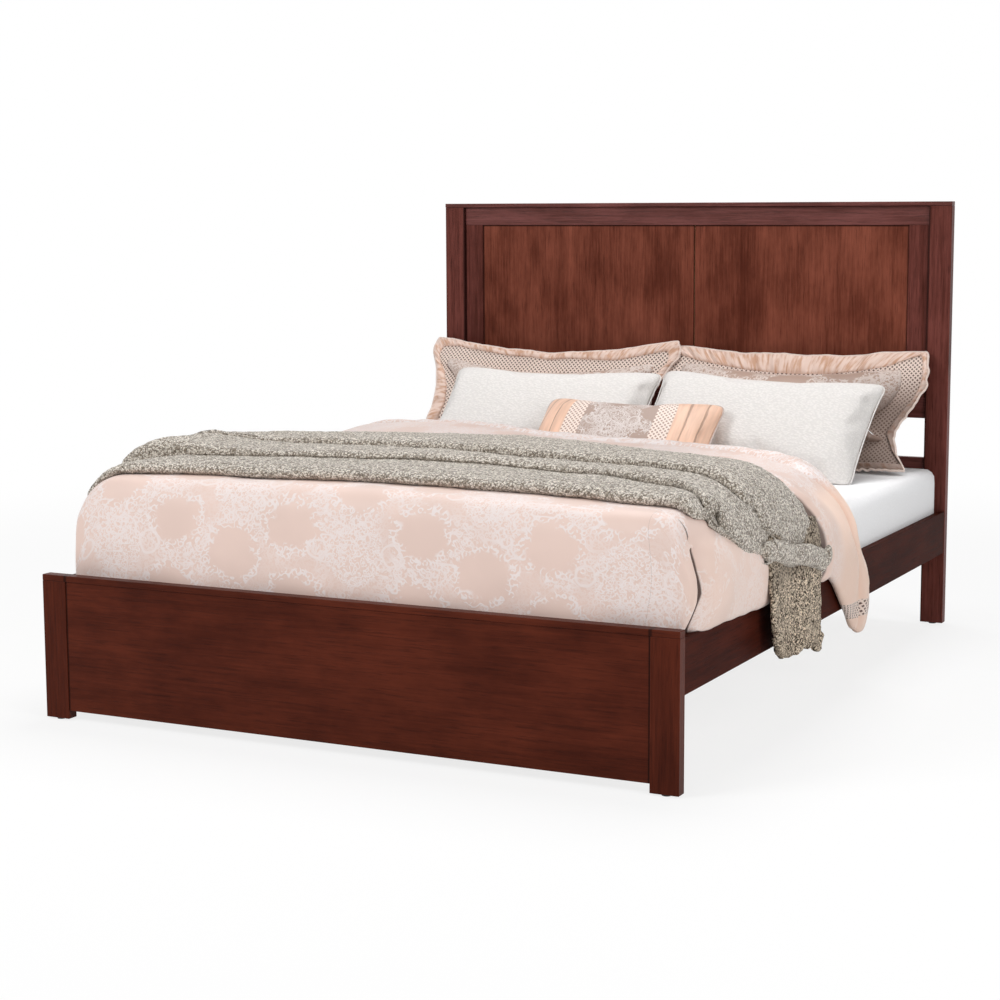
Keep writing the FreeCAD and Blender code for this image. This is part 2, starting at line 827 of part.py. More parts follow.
def throw_layer(shares, height, hem_left, hem_right):
    """One layer of the throw: folds of some height across its width, let down to a hem on each side."""
    sections = []
    for across, share in shares:
        rise = share * height
        slant = throw_front_slant_share + across * (throw_back_slant_share - throw_front_slant_share)
        sections.append(
            drape_section(
                foot_back_y + throw_foot_offset + across * throw_width,
                slant,
                comforter_half_width + rise,
                comforter_top + rise,
                hem_left,
                hem_right,
                comforter_shoulder_radius + rise,
            )
        )
    return Part.makeLoft(sections, True, True)


folds = throw_layer(throw_fold_shares, throw_fold_height, throw_left_hem, throw_right_hem)
hanging_end = throw_layer(throw_under_shares, throw_under_height, throw_left_hem, throw_under_hem)
over_comforter = comforter_block(soft_gap, comforter_hem)
save("throw", folds.fuse(hanging_end).cut(over_comforter))
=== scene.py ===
import math

import bmesh
import bpy
import numpy as np
from mathutils import Matrix, Vector, noise


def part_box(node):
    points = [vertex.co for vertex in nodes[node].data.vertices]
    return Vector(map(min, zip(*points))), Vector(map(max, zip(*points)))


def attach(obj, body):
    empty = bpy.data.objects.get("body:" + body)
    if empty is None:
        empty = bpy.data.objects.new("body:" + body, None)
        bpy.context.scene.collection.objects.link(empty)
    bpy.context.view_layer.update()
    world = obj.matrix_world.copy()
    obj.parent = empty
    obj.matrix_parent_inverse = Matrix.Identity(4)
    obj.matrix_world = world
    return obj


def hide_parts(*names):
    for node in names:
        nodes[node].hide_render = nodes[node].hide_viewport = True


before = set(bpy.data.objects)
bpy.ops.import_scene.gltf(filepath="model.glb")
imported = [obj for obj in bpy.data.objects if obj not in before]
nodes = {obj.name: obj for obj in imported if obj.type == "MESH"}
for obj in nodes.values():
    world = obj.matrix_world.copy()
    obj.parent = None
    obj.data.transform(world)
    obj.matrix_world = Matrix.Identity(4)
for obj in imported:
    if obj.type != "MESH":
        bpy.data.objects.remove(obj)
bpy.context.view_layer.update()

# Headboard: two posts that run to the floor, a top rail, a panel rail and two stiles round a pair of
# veneered panels, a lower rail and a thin cap. All solid cherry, dowelled and glued, stained dark and
# lacquered to a satin gloss.


def operation(name):
    """A Math node on a tone and another value, and the same with the two the other way round."""

    def reckon(tone, other=0.0):
        return tone.finish.node("ShaderNodeMath", {"operation": name}, {0: tone, 1: other})

    def reflected(tone, other):
        return tone.finish.node("ShaderNodeMath", {"operation": name}, {0: other, 1: tone})

    return reckon, reflected


class Tone:
    """A value or colour on its way through a finish, with sums written as they are said."""

    __add__, __radd__ = operation("ADD")
    __sub__, __rsub__ = operation("SUBTRACT")
    __mul__, __rmul__ = operation("MULTIPLY")
    __mod__ = operation("FLOORED_MODULO")[0]
    __pow__ = operation("POWER")[0]
    __abs__ = operation("ABSOLUTE")[0]
    low_of = operation("MINIMUM")[0]
    high_of = operation("MAXIMUM")[0]
    cosine = operation("COSINE")[0]
    turn_from = operation("ARCTAN2")[0]

    def __init__(self, finish, socket):
        self.finish = finish
        self.socket = socket

    def rise(self, start, end):
        """0 below start, 1 above end and smooth between; falling where end is the lower."""
        settings = {"interpolation_type": "SMOOTHSTEP"}
        sockets = {0: self, 1: min(start, end), 2: max(start, end)}
        risen = self.finish.node("ShaderNodeMapRange", settings, sockets)
        return risen if start < end else 1.0 - risen


class Finish:
    """One material: its nodes and the shader that they feed."""

    def __init__(self, name, **constants):
        self.material = bpy.data.materials.new(name)
        self.material.use_nodes = True
        self.tree = self.material.node_tree
        self.shader = self.tree.nodes["Principled BSDF"]
        for socket, value in constants.items():
            self.shader.inputs[socket.replace("_", " ")].default_value = value

    def node(self, kind, settings, sockets, output=0):
        """A node of any kind: its settings first, then the values and links of its sockets."""
        made = self.tree.nodes.new(kind)
        for key, value in settings.items():
            setattr(made, key, value)
        for key, value in sockets.items():
            if isinstance(value, Tone):
                self.tree.links.new(value.socket, made.inputs[key])
            else:
                made.inputs[key].default_value = value
        return Tone(self, made.outputs[output])

    def place(self, kind="Object"):
        return self.node("ShaderNodeTexCoord", {}, {}, kind)

    def stretched(self, place, scale):
        return self.node("ShaderNodeMapping", {}, {"Vector": place, "Scale": scale})

    def parts(self, place):
        """The x, y and z of a place."""
        split = self.node("ShaderNodeSeparateXYZ", {}, {0: place})
        return [Tone(self, socket) for socket in split.socket.node.outputs]

    def noise(self, place, scale, detail, roughness=0.5):
        sockets = {"Vector": place, "Scale": scale, "Detail": detail, "Roughness": roughness}
        return self.node("ShaderNodeTexNoise", {}, sockets)

    def cells(self, place, scale, flat=True, output="Distance"):
        settings = {"voronoi_dimensions": "2D" if flat else "3D"}
        return self.node("ShaderNodeTexVoronoi", settings, {"Vector": place, "Scale": scale}, output)

    def blend(self, mask, under, over):
        """The colour under, covered by the colour over where the mask is 1."""
        colours = [c if isinstance(c, Tone) else (*c, 1.0) for c in (under, over)]
        sockets = {0: mask, 6: colours[0], 7: colours[1]}
        return self.node("ShaderNodeMix", {"data_type": "RGBA"}, sockets, 2)

    def bump(self, height, distance, strength):
        sockets = {"Height": height, "Distance": distance, "Strength": strength}
        return self.node("ShaderNodeBump", {}, sockets)

    def mark(self, name):
        """A value that the mesh carries."""
        return self.node("ShaderNodeAttribute", {"attribute_name": name}, {}, "Fac")

    def show(self, **feeds):
        """Link what changes over the surface to the shader."""
        for socket, tone in feeds.items():
            self.tree.links.new(tone.socket, self.shader.inputs[socket.replace("_", " ")])
        return self.material


def toned(colour, share):
    """A colour made darker or lighter."""
    return [c * share for c in colour]


def lacquered_wood(name, grain, deep, warm, gloss=0.36, specular=0.07, figure=1.0, cloudy=0.35, joints=()):
    """Stained wood under satin lacquer, its grain along one axis of the bed, more or less figured and
    cloudy. The stain gathers in the joints, which are given as (axis, place) pairs, and painted shade
    darkens them further."""
    wood = Finish(name, Specular_IOR_Level=specular)
    along = [1.0, 1.0, 1.0]
    along["XYZ".index(grain)] = 0.045
    spot = wood.place()
    fibre = wood.stretched(spot, along)
    stain = wood.noise(wood.stretched(spot, [0.5 + a / 2 for a in along]), 9.0, 4.0, 0.6)
    bands = wood.noise(fibre, 22.0, 4.0, 0.65)
    streaks = wood.noise(fibre, 130.0, 4.0, 0.7)
    pores = wood.noise(fibre, 330.0, 3.0, 0.6).rise(0.52, 0.7)
    tone = (bands * 0.47 + streaks * 0.53) * (1.2 - cloudy) + stain * cloudy
    colour = wood.blend(tone.rise(0.6 - 0.17 / figure, 0.6 + 0.17 / figure), deep, warm)
    colour = wood.blend(pores * (0.5 * figure), colour, toned(deep, 0.4))
    # Along each joint: stain gathered in the joint, darkened further by painted shade.
    for axis, place in joints:
        beside = abs(wood.parts(spot)["XYZ".index(axis)] - place)
        colour = wood.blend(beside.rise(0.006, 0.002) * 0.8, colour, toned(deep, 0.2))
    return wood.show(
        Base_Color=colour,
        Roughness=streaks * 0.16 + (gloss - 0.06),
        Normal=wood.bump(streaks * 0.5 - pores, 0.0004, 0.5),
    )


def dress(material, *names):
    """Give CAD nodes a finish."""
    for name in names:
        nodes[name].data.materials.clear()
        nodes[name].data.materials.append(material)


CHERRY_DEEP = (0.066, 0.0155, 0.0105)
CHERRY_WARM = (0.172, 0.05, 0.04)
# The level boards' warm tone is pinker than the uprights': a painted sheen, standing in for the lamps'
# reflection on the lacquer.
LEVEL_WARM_WITH_PAINTED_SHEEN = (0.172, 0.056, 0.05)
PANEL_DEEP = (0.074, 0.0145, 0.0065)
PANEL_WARM = (0.245, 0.07, 0.042)
left_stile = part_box("headboard_stile_left")
right_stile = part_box("headboard_stile_right")
post_joints = (("X", left_stile[0].x), ("X", right_stile[1].x))
panel_joints = (("X", left_stile[1].x), ("X", right_stile[0].x), ("Z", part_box("headboard_top_rail")[0].z))
upright_cherry = lacquered_wood("cherry_upright", "Z", CHERRY_DEEP, CHERRY_WARM, joints=post_joints)
level_cherry = lacquered_wood("cherry_level", "X", CHERRY_DEEP, LEVEL_WARM_WITH_PAINTED_SHEEN, specular=0.15)
panel_veneer = lacquered_wood(
    "panel_veneer", "Z", PANEL_DEEP, PANEL_WARM, figure=0.8, cloudy=0.6, joints=panel_joints
)
dress(upright_cherry, "headboard_post_left", "headboard_post_right")
dress(upright_cherry, "headboard_stile_left", "headboard_stile_right")
dress(level_cherry, "headboard_top_rail", "headboard_panel_rail")
dress(level_cherry, "headboard_lower_rail", "headboard_top_cap")
dress(panel_veneer, "headboard_panel_left", "headboard_panel_right")

# Footboard: a wide veneered board between two short posts, set a hair behind them, under a full-width
# cap. Glued and dowelled, with its grain lying across the bed.

FOOT_DEEP = (0.046, 0.0074, 0.0028)
FOOT_WARM = (0.108, 0.0205, 0.0088)
foot_upright = lacquered_wood("foot_upright", "Z", FOOT_DEEP, FOOT_WARM, figure=0.8)
foot_joints = (("X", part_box("footboard_post_left")[1].x), ("X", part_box("footboard_post_right")[0].x))
foot_level = lacquered_wood(
    "foot_level", "X", FOOT_DEEP, FOOT_WARM, figure=0.8, cloudy=0.6, joints=foot_joints
)
dress(foot_upright, "footboard_post_left", "footboard_post_right")
dress(foot_level, "footboard_top_cap", "footboard_panel")

# Side rails: lacquered boards on edge that hook onto the posts. Their ledgers, the bars across both ends
# and the batten behind the headboard's seam are plain pine, screwed and glued on.

# The rails are far darker than the other cherry: partly a darker stain, and partly painted shade, as they
# sit under the comforter's overhang.
RAIL_DEEP = (0.026, 0.0048, 0.0026)
RAIL_WARM = (0.064, 0.0135, 0.0078)
rail_cherry = lacquered_wood("cherry_lengthwise", "Y", RAIL_DEEP, RAIL_WARM, gloss=0.45, specular=0.012)
dress(rail_cherry, "side_rail_left", "side_rail_right")


def bare_pine(name, grain):
    """Planed pine without a finish: pale, with tan growth bands."""
    return lacquered_wood(name, grain, (0.42, 0.25, 0.115), (0.64, 0.46, 0.27), gloss=0.62, specular=0.25)


dress(bare_pine("pine_lengthwise", "Y"), "slat_ledger_left", "slat_ledger_right", "centre_beam")
dress(bare_pine("pine_across", "X"), "headboard_slat_bar", "footboard_slat_bar")
dress(bare_pine("pine_upright", "Z"), "headboard_back_batten", "centre_legs")

# Fittings: pressed hook and slot plates, folded beam hangers, screws, bolts and threaded inserts of
# zinc-plated steel, and beech dowels in the glued joints.


def plated_steel(name, colour, roughness):
    """Zinc plate with a faint brushed grain and cloudy patches."""
    steel = Finish(name, Metallic=1.0)
    spot = steel.place()
    brushed = steel.noise(steel.stretched(spot, (1.0, 1.0, 0.08)), 900.0, 2.0)
    cloud = steel.noise(spot, 40.0, 3.0)
    return steel.show(
        Base_Color=steel.blend(cloud, toned(colour, 0.8), colour),
        Roughness=brushed * 0.2 + (roughness - 0.1),
        Normal=steel.bump(brushed, 0.0001, 0.3),
    )


zinc_plate = plated_steel("zinc_plate", (0.66, 0.66, 0.64), 0.36)
dress(zinc_plate, "rail_hook_plates", "post_slot_plates", "beam_hangers", "bracket_screws")
dress(zinc_plate, "ledger_screws", "slat_screws", "leg_bolts", "leg_inserts")
dress(bare_pine("beech_dowel", "X"), "headboard_dowels", "footboard_dowels")

# Feet: three levelling feet of blackened steel turn in the centre legs' inserts, and a nylon glide is
# nailed under each post.

LEVELLERS = ("leveller_foot", "leveller_middle", "leveller_head")
dress(plated_steel("blackened_steel", (0.09, 0.09, 0.095), 0.42), *LEVELLERS)


def moulded_nylon(name, colour):
    """Moulded nylon with a fine eroded skin."""
    nylon = Finish(name, Specular_IOR_Level=0.35)
    skin = nylon.noise(nylon.place(), 1500.0, 3.0)
    scuffs = nylon.noise(nylon.place(), 90.0, 4.0)
    return nylon.show(
        Base_Color=nylon.blend(scuffs.rise(0.5, 0.8), colour, toned(colour, 1.6)),
        Roughness=scuffs * 0.2 + 0.42,
        Normal=nylon.bump(skin, 0.0001, 0.4),
    )


dress(moulded_nylon("glide_nylon", (0.05, 0.05, 0.052)), "post_glides")

# Slats: planed pine boards screwed to the ledgers, held at their spacing by two bands of woven webbing
# stapled along their undersides.

SLATS = sorted(name for name in nodes if name.startswith("slat_") and name[5:].isdigit())
dress(bare_pine("pine_slat", "X"), *SLATS)


def placed(name, data):
    """An object in the scene, at the origin."""
    made = bpy.data.objects.new(name, data)
    bpy.context.scene.collection.objects.link(made)
    return made


def shade_smooth(mesh):
    mesh.polygons.foreach_set("use_smooth", [True] * len(mesh.polygons))


def new_piece(name, points, faces, uvs, material=None):
    """A smooth mesh piece from points and faces, with UVs by face corner."""
    mesh = bpy.data.meshes.new(name)
    mesh.from_pydata([tuple(p) for p in points], [], [tuple(int(i) for i in f) for f in faces])
    layer = mesh.uv_layers.new(name="UVMap")
    layer.data.foreach_set("uv", np.asarray(uvs, np.float32).ravel())
    shade_smooth(mesh)
    mesh.update()
    if material:
        mesh.materials.append(material)
    return placed(name, mesh)


def corners_of(grid):
    """The four corners of every cell of a grid."""
    return [grid[:-1, :-1], grid[:-1, 1:], grid[1:, 1:], grid[1:, :-1]]


def edge_loops(quads, count):
    """The directed edges that only one face uses."""
    start = quads.ravel()
    end = np.roll(quads, -1, 1).ravel()
    there = start.astype(np.int64) * count + end
    back = end.astype(np.int64) * count + start
    lone = ~np.isin(there, back)
    return start[lone], end[lone]


def unit(vectors):
    return vectors / np.maximum(np.linalg.norm(vectors, axis=-1, keepdims=True), 1e-12)


def padded_mesh(name, outer, inner, uv, material, present=None, ring=False, rim_steps=3, marks=None):
    """A closed cloth piece: an outer and an inner skin on one grid, joined by a rounded rim.
    A ring's last column joins its first. Marks are named values on the grid, kept for the finish."""
    rows, columns = outer.shape[:2]
    if present is None:
        present = np.ones((rows, columns), bool)
    index = np.full((rows, columns), -1)
    index[present] = np.arange(present.sum())
    count = int(present.sum())
    if ring:
        index = np.concatenate([index, index[:, :1]], 1)
    corner_index = corners_of(index)
    whole = np.all([c >= 0 for c in corner_index], 0)
    quads = np.stack([c[whole] for c in corner_index], 1)
    quad_uv = np.stack([c[whole] for c in corners_of(uv)], 1)
    skin = outer[present]
    lining = inner[present]
    point_uv = uv[:, :columns][present]

    start, end = edge_loops(quads, count)
    half = (skin - lining) / 2
    radius = np.linalg.norm(half, axis=1, keepdims=True)
    away = np.zeros_like(skin)
    away_uv = np.zeros_like(point_uv)
    outward = unit(np.cross(skin[end] - skin[start], half[start] + half[end]))
    step_uv = point_uv[end] - point_uv[start]
    outward_uv = unit(np.stack([step_uv[:, 1], -step_uv[:, 0]], 1))
    for ends in (start, end):
        np.add.at(away, ends, outward)
        np.add.at(away_uv, ends, outward_uv)
    rim = np.unique(start)
    away = unit(away[rim]) * radius[rim]
    away_uv = unit(away_uv[rim]) * radius[rim]
    middle = (skin[rim] + lining[rim]) / 2
    place = np.full(count, -1)
    place[rim] = np.arange(len(rim))

    points = [skin, lining]
    faces = [quads, quads[:, ::-1] + count]
    uvs = [quad_uv, quad_uv[:, ::-1]]
    last = (end, start)
    last_uv = (point_uv[end], point_uv[start])
    for k in range(1, rim_steps + 2):
        angle = math.pi * k / (rim_steps + 1)
        if k <= rim_steps:
            base = 2 * count + (k - 1) * len(rim)
            points.append(middle + half[rim] * math.cos(angle) + away * math.sin(angle))
            row = (base + place[end], base + place[start])
            shifted = point_uv[rim] + away_uv * angle
            row_uv = (shifted[place[end]], shifted[place[start]])
        else:
            row = (count + end, count + start)
            row_uv = (point_uv[end], point_uv[start])
        faces.append(np.stack([last[0], last[1], row[1], row[0]], 1))
        uvs.append(np.stack([last_uv[0], last_uv[1], row_uv[1], row_uv[0]], 1))
        last, last_uv = row, row_uv
    piece = new_piece(
        name, np.concatenate(points), np.concatenate(faces), np.concatenate(uvs).reshape(-1, 2), material
    )
    for mark, values in (marks or {}).items():
        layer = piece.data.attributes.new(mark, "FLOAT", "POINT")
        on_skin = values[present]
        layer.data.foreach_set("value", np.concatenate([on_skin, on_skin, *[on_skin[rim]] * rim_steps]))
    return piece


def grid_normals(points):
    """Unit normals of a grid of points, rows times columns crossed so that they face outwards."""
    across = np.gradient(points, axis=1)
    along = np.gradient(points, axis=0)
    return unit(np.cross(across, along))


def woven_webbing(name):
    """Off-white polypropylene webbing with a twill rib."""
    band = Finish(name, Specular_IOR_Level=0.3)
    x, y, z = band.parts(band.place())
    rib = ((x * 2600.0 + y * 2600.0).cosine() * 0.5 + 0.5).rise(0.2, 0.8)
    return band.show(
        Base_Color=band.blend(rib, (0.52, 0.5, 0.45), (0.78, 0.76, 0.7)),
        Roughness=rib * 0.1 + 0.6,
        Normal=band.bump(rib, 0.0003, 0.6),
    )


low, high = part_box("slat_straps")
STRAP_WIDTH = 0.03
strap_rows = np.linspace(low.y, high.y, 2)
strap_parts = []
for edge in (low.x, high.x - STRAP_WIDTH):
    x, y = np.meshgrid([edge, edge + STRAP_WIDTH / 2, edge + STRAP_WIDTH], strap_rows)
    top = np.stack([x, y, np.full_like(x, high.z)], 2)
    bottom = np.stack([x, y, np.full_like(x, low.z)], 2)
    uv = np.stack([x, y], 2)
    strap_parts.append(padded_mesh("slat_webbing", top, bottom, uv, None, rim_steps=1))


def joined(pieces, name):
    """Several meshes made one piece, each keeping its own finish."""
    with bpy.context.temp_override(active_object=pieces[0], selected_editable_objects=pieces):
        bpy.ops.object.join()
    pieces[0].name = name
    return pieces[0]


def settle(piece, node):
    """Put a soft piece in its CAD node's place on the bed."""
    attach(piece, "bed")
    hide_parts(node)


straps = joined(strap_parts, "slat_webbing")
straps.data.materials.clear()
straps.data.materials.append(woven_webbing("webbing"))
settle(straps, "slat_straps")

# Mattress: a foam block in a tight white cotton sheet, its edges softly rounded and its sides a little
# drawn in between the corners.


def soft_box(low, high, radius, step):
    """A closed box of small faces, all its edges rounded to one radius."""
    low = np.array(low)
    high = np.array(high)
    spans = [np.linspace(low[i], high[i], max(8, int((high[i] - low[i]) / step[i]))) for i in range(3)]
    mesh = bmesh.new()
    for axis in range(3):
        first, second = [i for i in range(3) if i != axis]
        for side, value in ((0, low[axis]), (1, high[axis])):
            made = {}
            for i, a in enumerate(spans[first]):
                for j, b in enumerate(spans[second]):
                    spot = [0.0, 0.0, 0.0]
                    spot[axis], spot[first], spot[second] = value, a, b
                    made[i, j] = mesh.verts.new(spot)
            for i in range(len(spans[first]) - 1):
                for j in range(len(spans[second]) - 1):
                    mesh.faces.new([made[i, j], made[i + 1, j], made[i + 1, j + 1], made[i, j + 1]])
    bmesh.ops.remove_doubles(mesh, verts=mesh.verts, dist=1e-5)
    for vert in mesh.verts:
        core = np.clip(np.array(vert.co), low + radius, high - radius)
        vert.co = core + unit(np.array(vert.co) - core) * radius
    bmesh.ops.recalc_face_normals(mesh, faces=mesh.faces)
    return mesh


def crumple(points, size, seed):
    """Smooth noise at points, about -1 to 1, with lumps of some size."""
    shift = Vector((seed * 7.1, seed * 3.7, seed * 5.3))
    lumps = [noise.noise(Vector(p) / size + shift) for p in np.reshape(points, (-1, 3))]
    return np.reshape(lumps, np.shape(points)[:-1])


COTTON_THREAD = 0.0011


def cotton(name, colour):
    """Plain woven cotton: fine thread, faint slubs and soft creases."""
    cloth = Finish(name, Specular_IOR_Level=0.2, Sheen_Weight=0.15, Sheen_Roughness=0.5)
    spot = cloth.place()
    x, y, z = cloth.parts(spot)
    turn = 2 * math.pi / COTTON_THREAD
    weave = (x * turn).cosine() * 0.5 + ((y + z) * turn).cosine() * 0.5
    slubs = cloth.noise(cloth.stretched(spot, (1.0, 6.0, 6.0)), 30.0, 3.0)
    creases = cloth.noise(spot, 9.0, 4.0)
    return cloth.show(
        Base_Color=cloth.blend(slubs.rise(0.35, 0.8), toned(colour, 0.94), colour),
        Roughness=creases * 0.1 + 0.72,
        Normal=cloth.bump(weave * 0.06 + creases * 1.8, 0.0016, 0.6),
    )


low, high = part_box("mattress")
SHEET_RADIUS = 0.03
FOOT_CORNER = 0.1
slab = soft_box(low, high, SHEET_RADIUS, (0.022, 0.022, 0.018))
for vert in slab.verts:
    spot = vert.co.copy()
    along = (spot.y - (low.y + high.y) / 2) / (high.y - low.y) * 2
    across = spot.x / high.x
    upright = (spot.z - low.z) / (high.z - low.z)
    tuck = 0.004 * math.sin(math.pi * upright) * (1 - min(1.0, abs(along)) ** 4)
    vert.co.x += math.copysign(tuck, spot.x) * min(1.0, max(0.0, abs(across) - 0.9) * 10)
    vert.co.z += 0.0025 * noise.noise(spot * 6.0) * max(0.0, upright - 0.6)
    vert.co.x += 0.002 * noise.noise(spot * 11.0 + Vector((3.0, 0.0, 0.0))) * max(0.0, abs(across) - 0.9)
    corner = Vector((high.x - FOOT_CORNER, low.y + FOOT_CORNER))
    out = Vector((abs(vert.co.x) - corner.x, vert.co.y - corner.y))
    if out.x > 0 and out.y < 0 and out.length > FOOT_CORNER:
        vert.co.x = math.copysign(corner.x + out.x * FOOT_CORNER / out.length, vert.co.x)
        vert.co.y = corner.y + out.y * FOOT_CORNER / out.length
mesh = bpy.data.meshes.new("mattress_in_sheet")
slab.to_mesh(mesh)
slab.free()
shade_smooth(mesh)
mesh.materials.append(cotton("white_sheet", (0.94, 0.94, 0.95)))
mattress = placed("mattress_in_sheet", mesh)
settle(mattress, "mattress")
MATTRESS_TOP = high.z

# Shams: two pillows in blush satin cases with a woven figure. Each case ends in a flat border: a band of
# openwork lattice, then a gathered edge of peach satin with a pale cord round its rim.


def quads_of(grid):
    """The corners of every cell of a grid, cell by cell."""
    return np.stack(corners_of(grid), 2).reshape(-1, 4, *grid.shape[2:])


def sewn_cover(name, outline, depth, columns, rows):
    """Two panels sewn together round their edge and a little filled. The outline takes shares of the width
    and height, from -1 to 1, to x and z. The front faces -y."""
    across, upward = np.meshgrid(np.linspace(-1, 1, columns), np.linspace(-1, 1, rows))
    x, z = outline(across, upward)
    swell = depth / 2 * np.sqrt((1 - across**2) * (1 - upward**2))
    front = np.stack([x, -swell, z], 2)
    back = front * (1, -1, 1)
    inside = np.zeros((rows, columns), bool)
    inside[1:-1, 1:-1] = True
    index = np.arange(rows * columns).reshape(rows, columns)
    behind = index.copy()
    behind[inside] = rows * columns + np.arange(inside.sum())
    faces = [quads_of(index), quads_of(behind)[:, ::-1]]
    uvs = quads_of(front[:, :, [0, 2]])
    seam = np.concatenate([index[0, :], index[1:, -1], index[-1, -2::-1], index[-2:0:-1, 0]])
    cover = new_piece(
        name,
        np.concatenate([front.reshape(-1, 3), back[inside]]),
        np.concatenate(faces),
        np.concatenate([uvs, uvs[:, ::-1]]).reshape(-1, 2),
    )
    return cover, seam, across.ravel()[seam], upward.ravel()[seam]


def points_of(piece):
    flat = np.empty(len(piece.data.vertices) * 3, np.float32)
    piece.data.vertices.foreach_get("co", flat)
    return flat.reshape(-1, 3).astype(float)


def put_points(piece, points):
    piece.data.vertices.foreach_set("co", np.asarray(points, np.float32).ravel())
    piece.data.update()


FILL_PRESSURE = 5.0
FILL_FRAMES = 20


def fill(cover, reach):
    """Blow a sewn cover up as its filling would, with no point moving further than reach."""
    rest = points_of(cover)
    cloth = cover.modifiers.new("filling", "CLOTH").settings
    cloth.quality = 6
    cloth.mass = 0.25
    cloth.tension_stiffness = 18
    cloth.compression_stiffness = 18
    cloth.shear_stiffness = 8
    cloth.bending_stiffness = 0.4
    cloth.use_pressure = True
    cloth.uniform_pressure_force = FILL_PRESSURE
    cloth.effector_weights.gravity = 0
    for number in range(1, FILL_FRAMES + 1):
        bpy.context.scene.frame_set(number)
    blown = cover.evaluated_get(bpy.context.evaluated_depsgraph_get())
    move = np.array([v.co for v in blown.data.vertices]) - rest
    cover.modifiers.clear()
    bpy.context.scene.frame_set(1)
    length = np.linalg.norm(move, axis=1, keepdims=True)
    return rest + move * np.minimum(1.0, reach / np.maximum(length, 1e-9))


def leaned(points, lean, middle):
    """Points drawn upright, leaned back by some degrees and moved to a middle point."""
    angle = math.radians(lean)
    x, y, z = points.T
    back = y * math.cos(angle) + z * math.sin(angle)
    high = z * math.cos(angle) - y * math.sin(angle)
    return np.stack([x, back, high], 1) + middle


def smoothed(piece):
    """One level of Catmull-Clark smoothing, the same in every view."""
    rounding = piece.modifiers.new("rounding", "SUBSURF")
    rounding.levels = 1
    rounding.render_levels = 1


def grown(tree, piece, **values):
    """What a geometry-nodes tree makes of a piece, as a plain mesh. The piece itself goes."""
    growth = piece.modifiers.new("growth", "NODES")
    growth.node_group = tree
    for socket in tree.interface.items_tree:
        if socket.name in values:
            growth[socket.identifier] = values[socket.name]
    graph = bpy.context.evaluated_depsgraph_get()
    mesh = bpy.data.meshes.new_from_object(piece.evaluated_get(graph))
    name = piece.name
    bpy.data.objects.remove(piece)
    return placed(name, mesh)


REPEAT_U = 0.655
REPEAT_V = 0.34


def curled(cloth, place, scale):
    """Small broken curls, as lace is made of."""
    rings = abs(cloth.cells(place, scale) - 0.33).rise(0.16, 0.06)
    gaps = cloth.noise(place, scale * 1.6, 0.0).rise(0.4, 0.48)
    strands = abs((cloth.noise(place, scale * 0.8, 0.0) * 2.6) % 1.0 - 0.5).rise(0.17, 0.07)
    return (rings * gaps).high_of(strands)


def damask(cloth, u, v):
    """The woven figure: round rosettes in half-drop, plain ovals between them ringed by chains of curls,
    and loose curls in the rest. u and v are metres along the cloth."""
    place = cloth.node("ShaderNodeCombineXYZ", {}, {0: u, 1: v})
    drift = cloth.parts(cloth.node("ShaderNodeTexNoise", {}, {"Vector": place, "Scale": 16.0}, "Color"))
    u = u + (drift[0] - 0.5) * 0.03
    v = v + (drift[1] - 0.5) * 0.03
    ovals = 9.0
    rosette = 0.0
    drawn = 0.0
    for shift in (0.5, 1.0):
        across = abs((u + REPEAT_U * shift) % REPEAT_U - REPEAT_U / 2)
        upward = (v + REPEAT_V * shift) % REPEAT_V - REPEAT_V / 2
        for middle_u, middle_v in ((0.17, 0.055), (REPEAT_U / 2, -0.02)):
            aside = (across - middle_u) * (1 / 0.06)
            above = (upward - middle_v) * (1 / 0.052)
            ovals = ((aside * aside + above * above) ** 0.5).low_of(ovals)
        away = (across * across + upward * upward) ** 0.5
        turn = upward.turn_from(across)
        beside = across - 0.096
        ring = abs((beside * beside + upward * upward) ** 0.5 - 0.024).rise(0.0045, 0.002)
        scallop = abs(away - 0.062 - (turn * 10.0).cosine() * 0.006).rise(0.004, 0.0015)
        drawn = ring.high_of(scallop * 0.7).high_of(drawn)
        rosette = away.rise(0.085, 0.07).high_of(rosette)
    ovals = ovals + (cloth.noise(place, 34.0, 1.0) - 0.5) * 0.9
    chain = ovals.rise(0.9, 1.12) * ovals.rise(1.5, 1.35)
    loose = ovals.rise(1.3, 1.4) * (cloth.noise(place, 7.0, 2.0).rise(0.36, 0.56) * 0.7 + 0.2)
    lace = curled(cloth, place, 60.0) * chain.high_of(loose)
    fine = curled(cloth, place, 96.0) * rosette.high_of(loose * 0.8)
    return lace.high_of(fine).high_of(drawn * 0.8)


def jacquard(name, ground, figure, figure_share, over):
    """Satin with the damask figure woven in matt off-white thread. A function of the cloth and its colour
    adds what lies over the weave."""
    cloth = Finish(name, Specular_IOR_Level=0.3, Sheen_Weight=0.15, Sheen_Roughness=0.4)
    place = cloth.place("UV")
    u, v, w = cloth.parts(place)
    woven = damask(cloth, u - 0.025, v + 0.103)
    thread = cloth.noise(cloth.stretched(place, (1.0, 14.0, 1.0)), 240.0, 2.0)
    cloud = cloth.noise(place, 6.0, 3.0)
    plain = cloth.blend(cloud.rise(0.3, 0.75), toned(ground, 0.94), ground)
    colour = over(cloth, cloth.blend(woven * figure_share, plain, figure))
    return cloth.show(
        Base_Color=colour,
        Roughness=woven * 0.22 + thread * 0.12 + 0.38,
        Normal=cloth.bump(woven * 0.6 + thread * 0.4, 0.0007, 0.55),
    )


LATTICE_PITCH = 0.0135


def lattice(cloth, u, v, thread=(0.76, 0.63, 0.56), hole=(0.13, 0.08, 0.065)):
    """Openwork: crossing slanted threads over dark diamond holes."""
    turn = 2 * math.pi / LATTICE_PITCH
    net = ((u + v) * turn).cosine().high_of(((u - v) * turn).cosine())
    return cloth.blend(net.rise(0.3, 0.0), thread, hole)


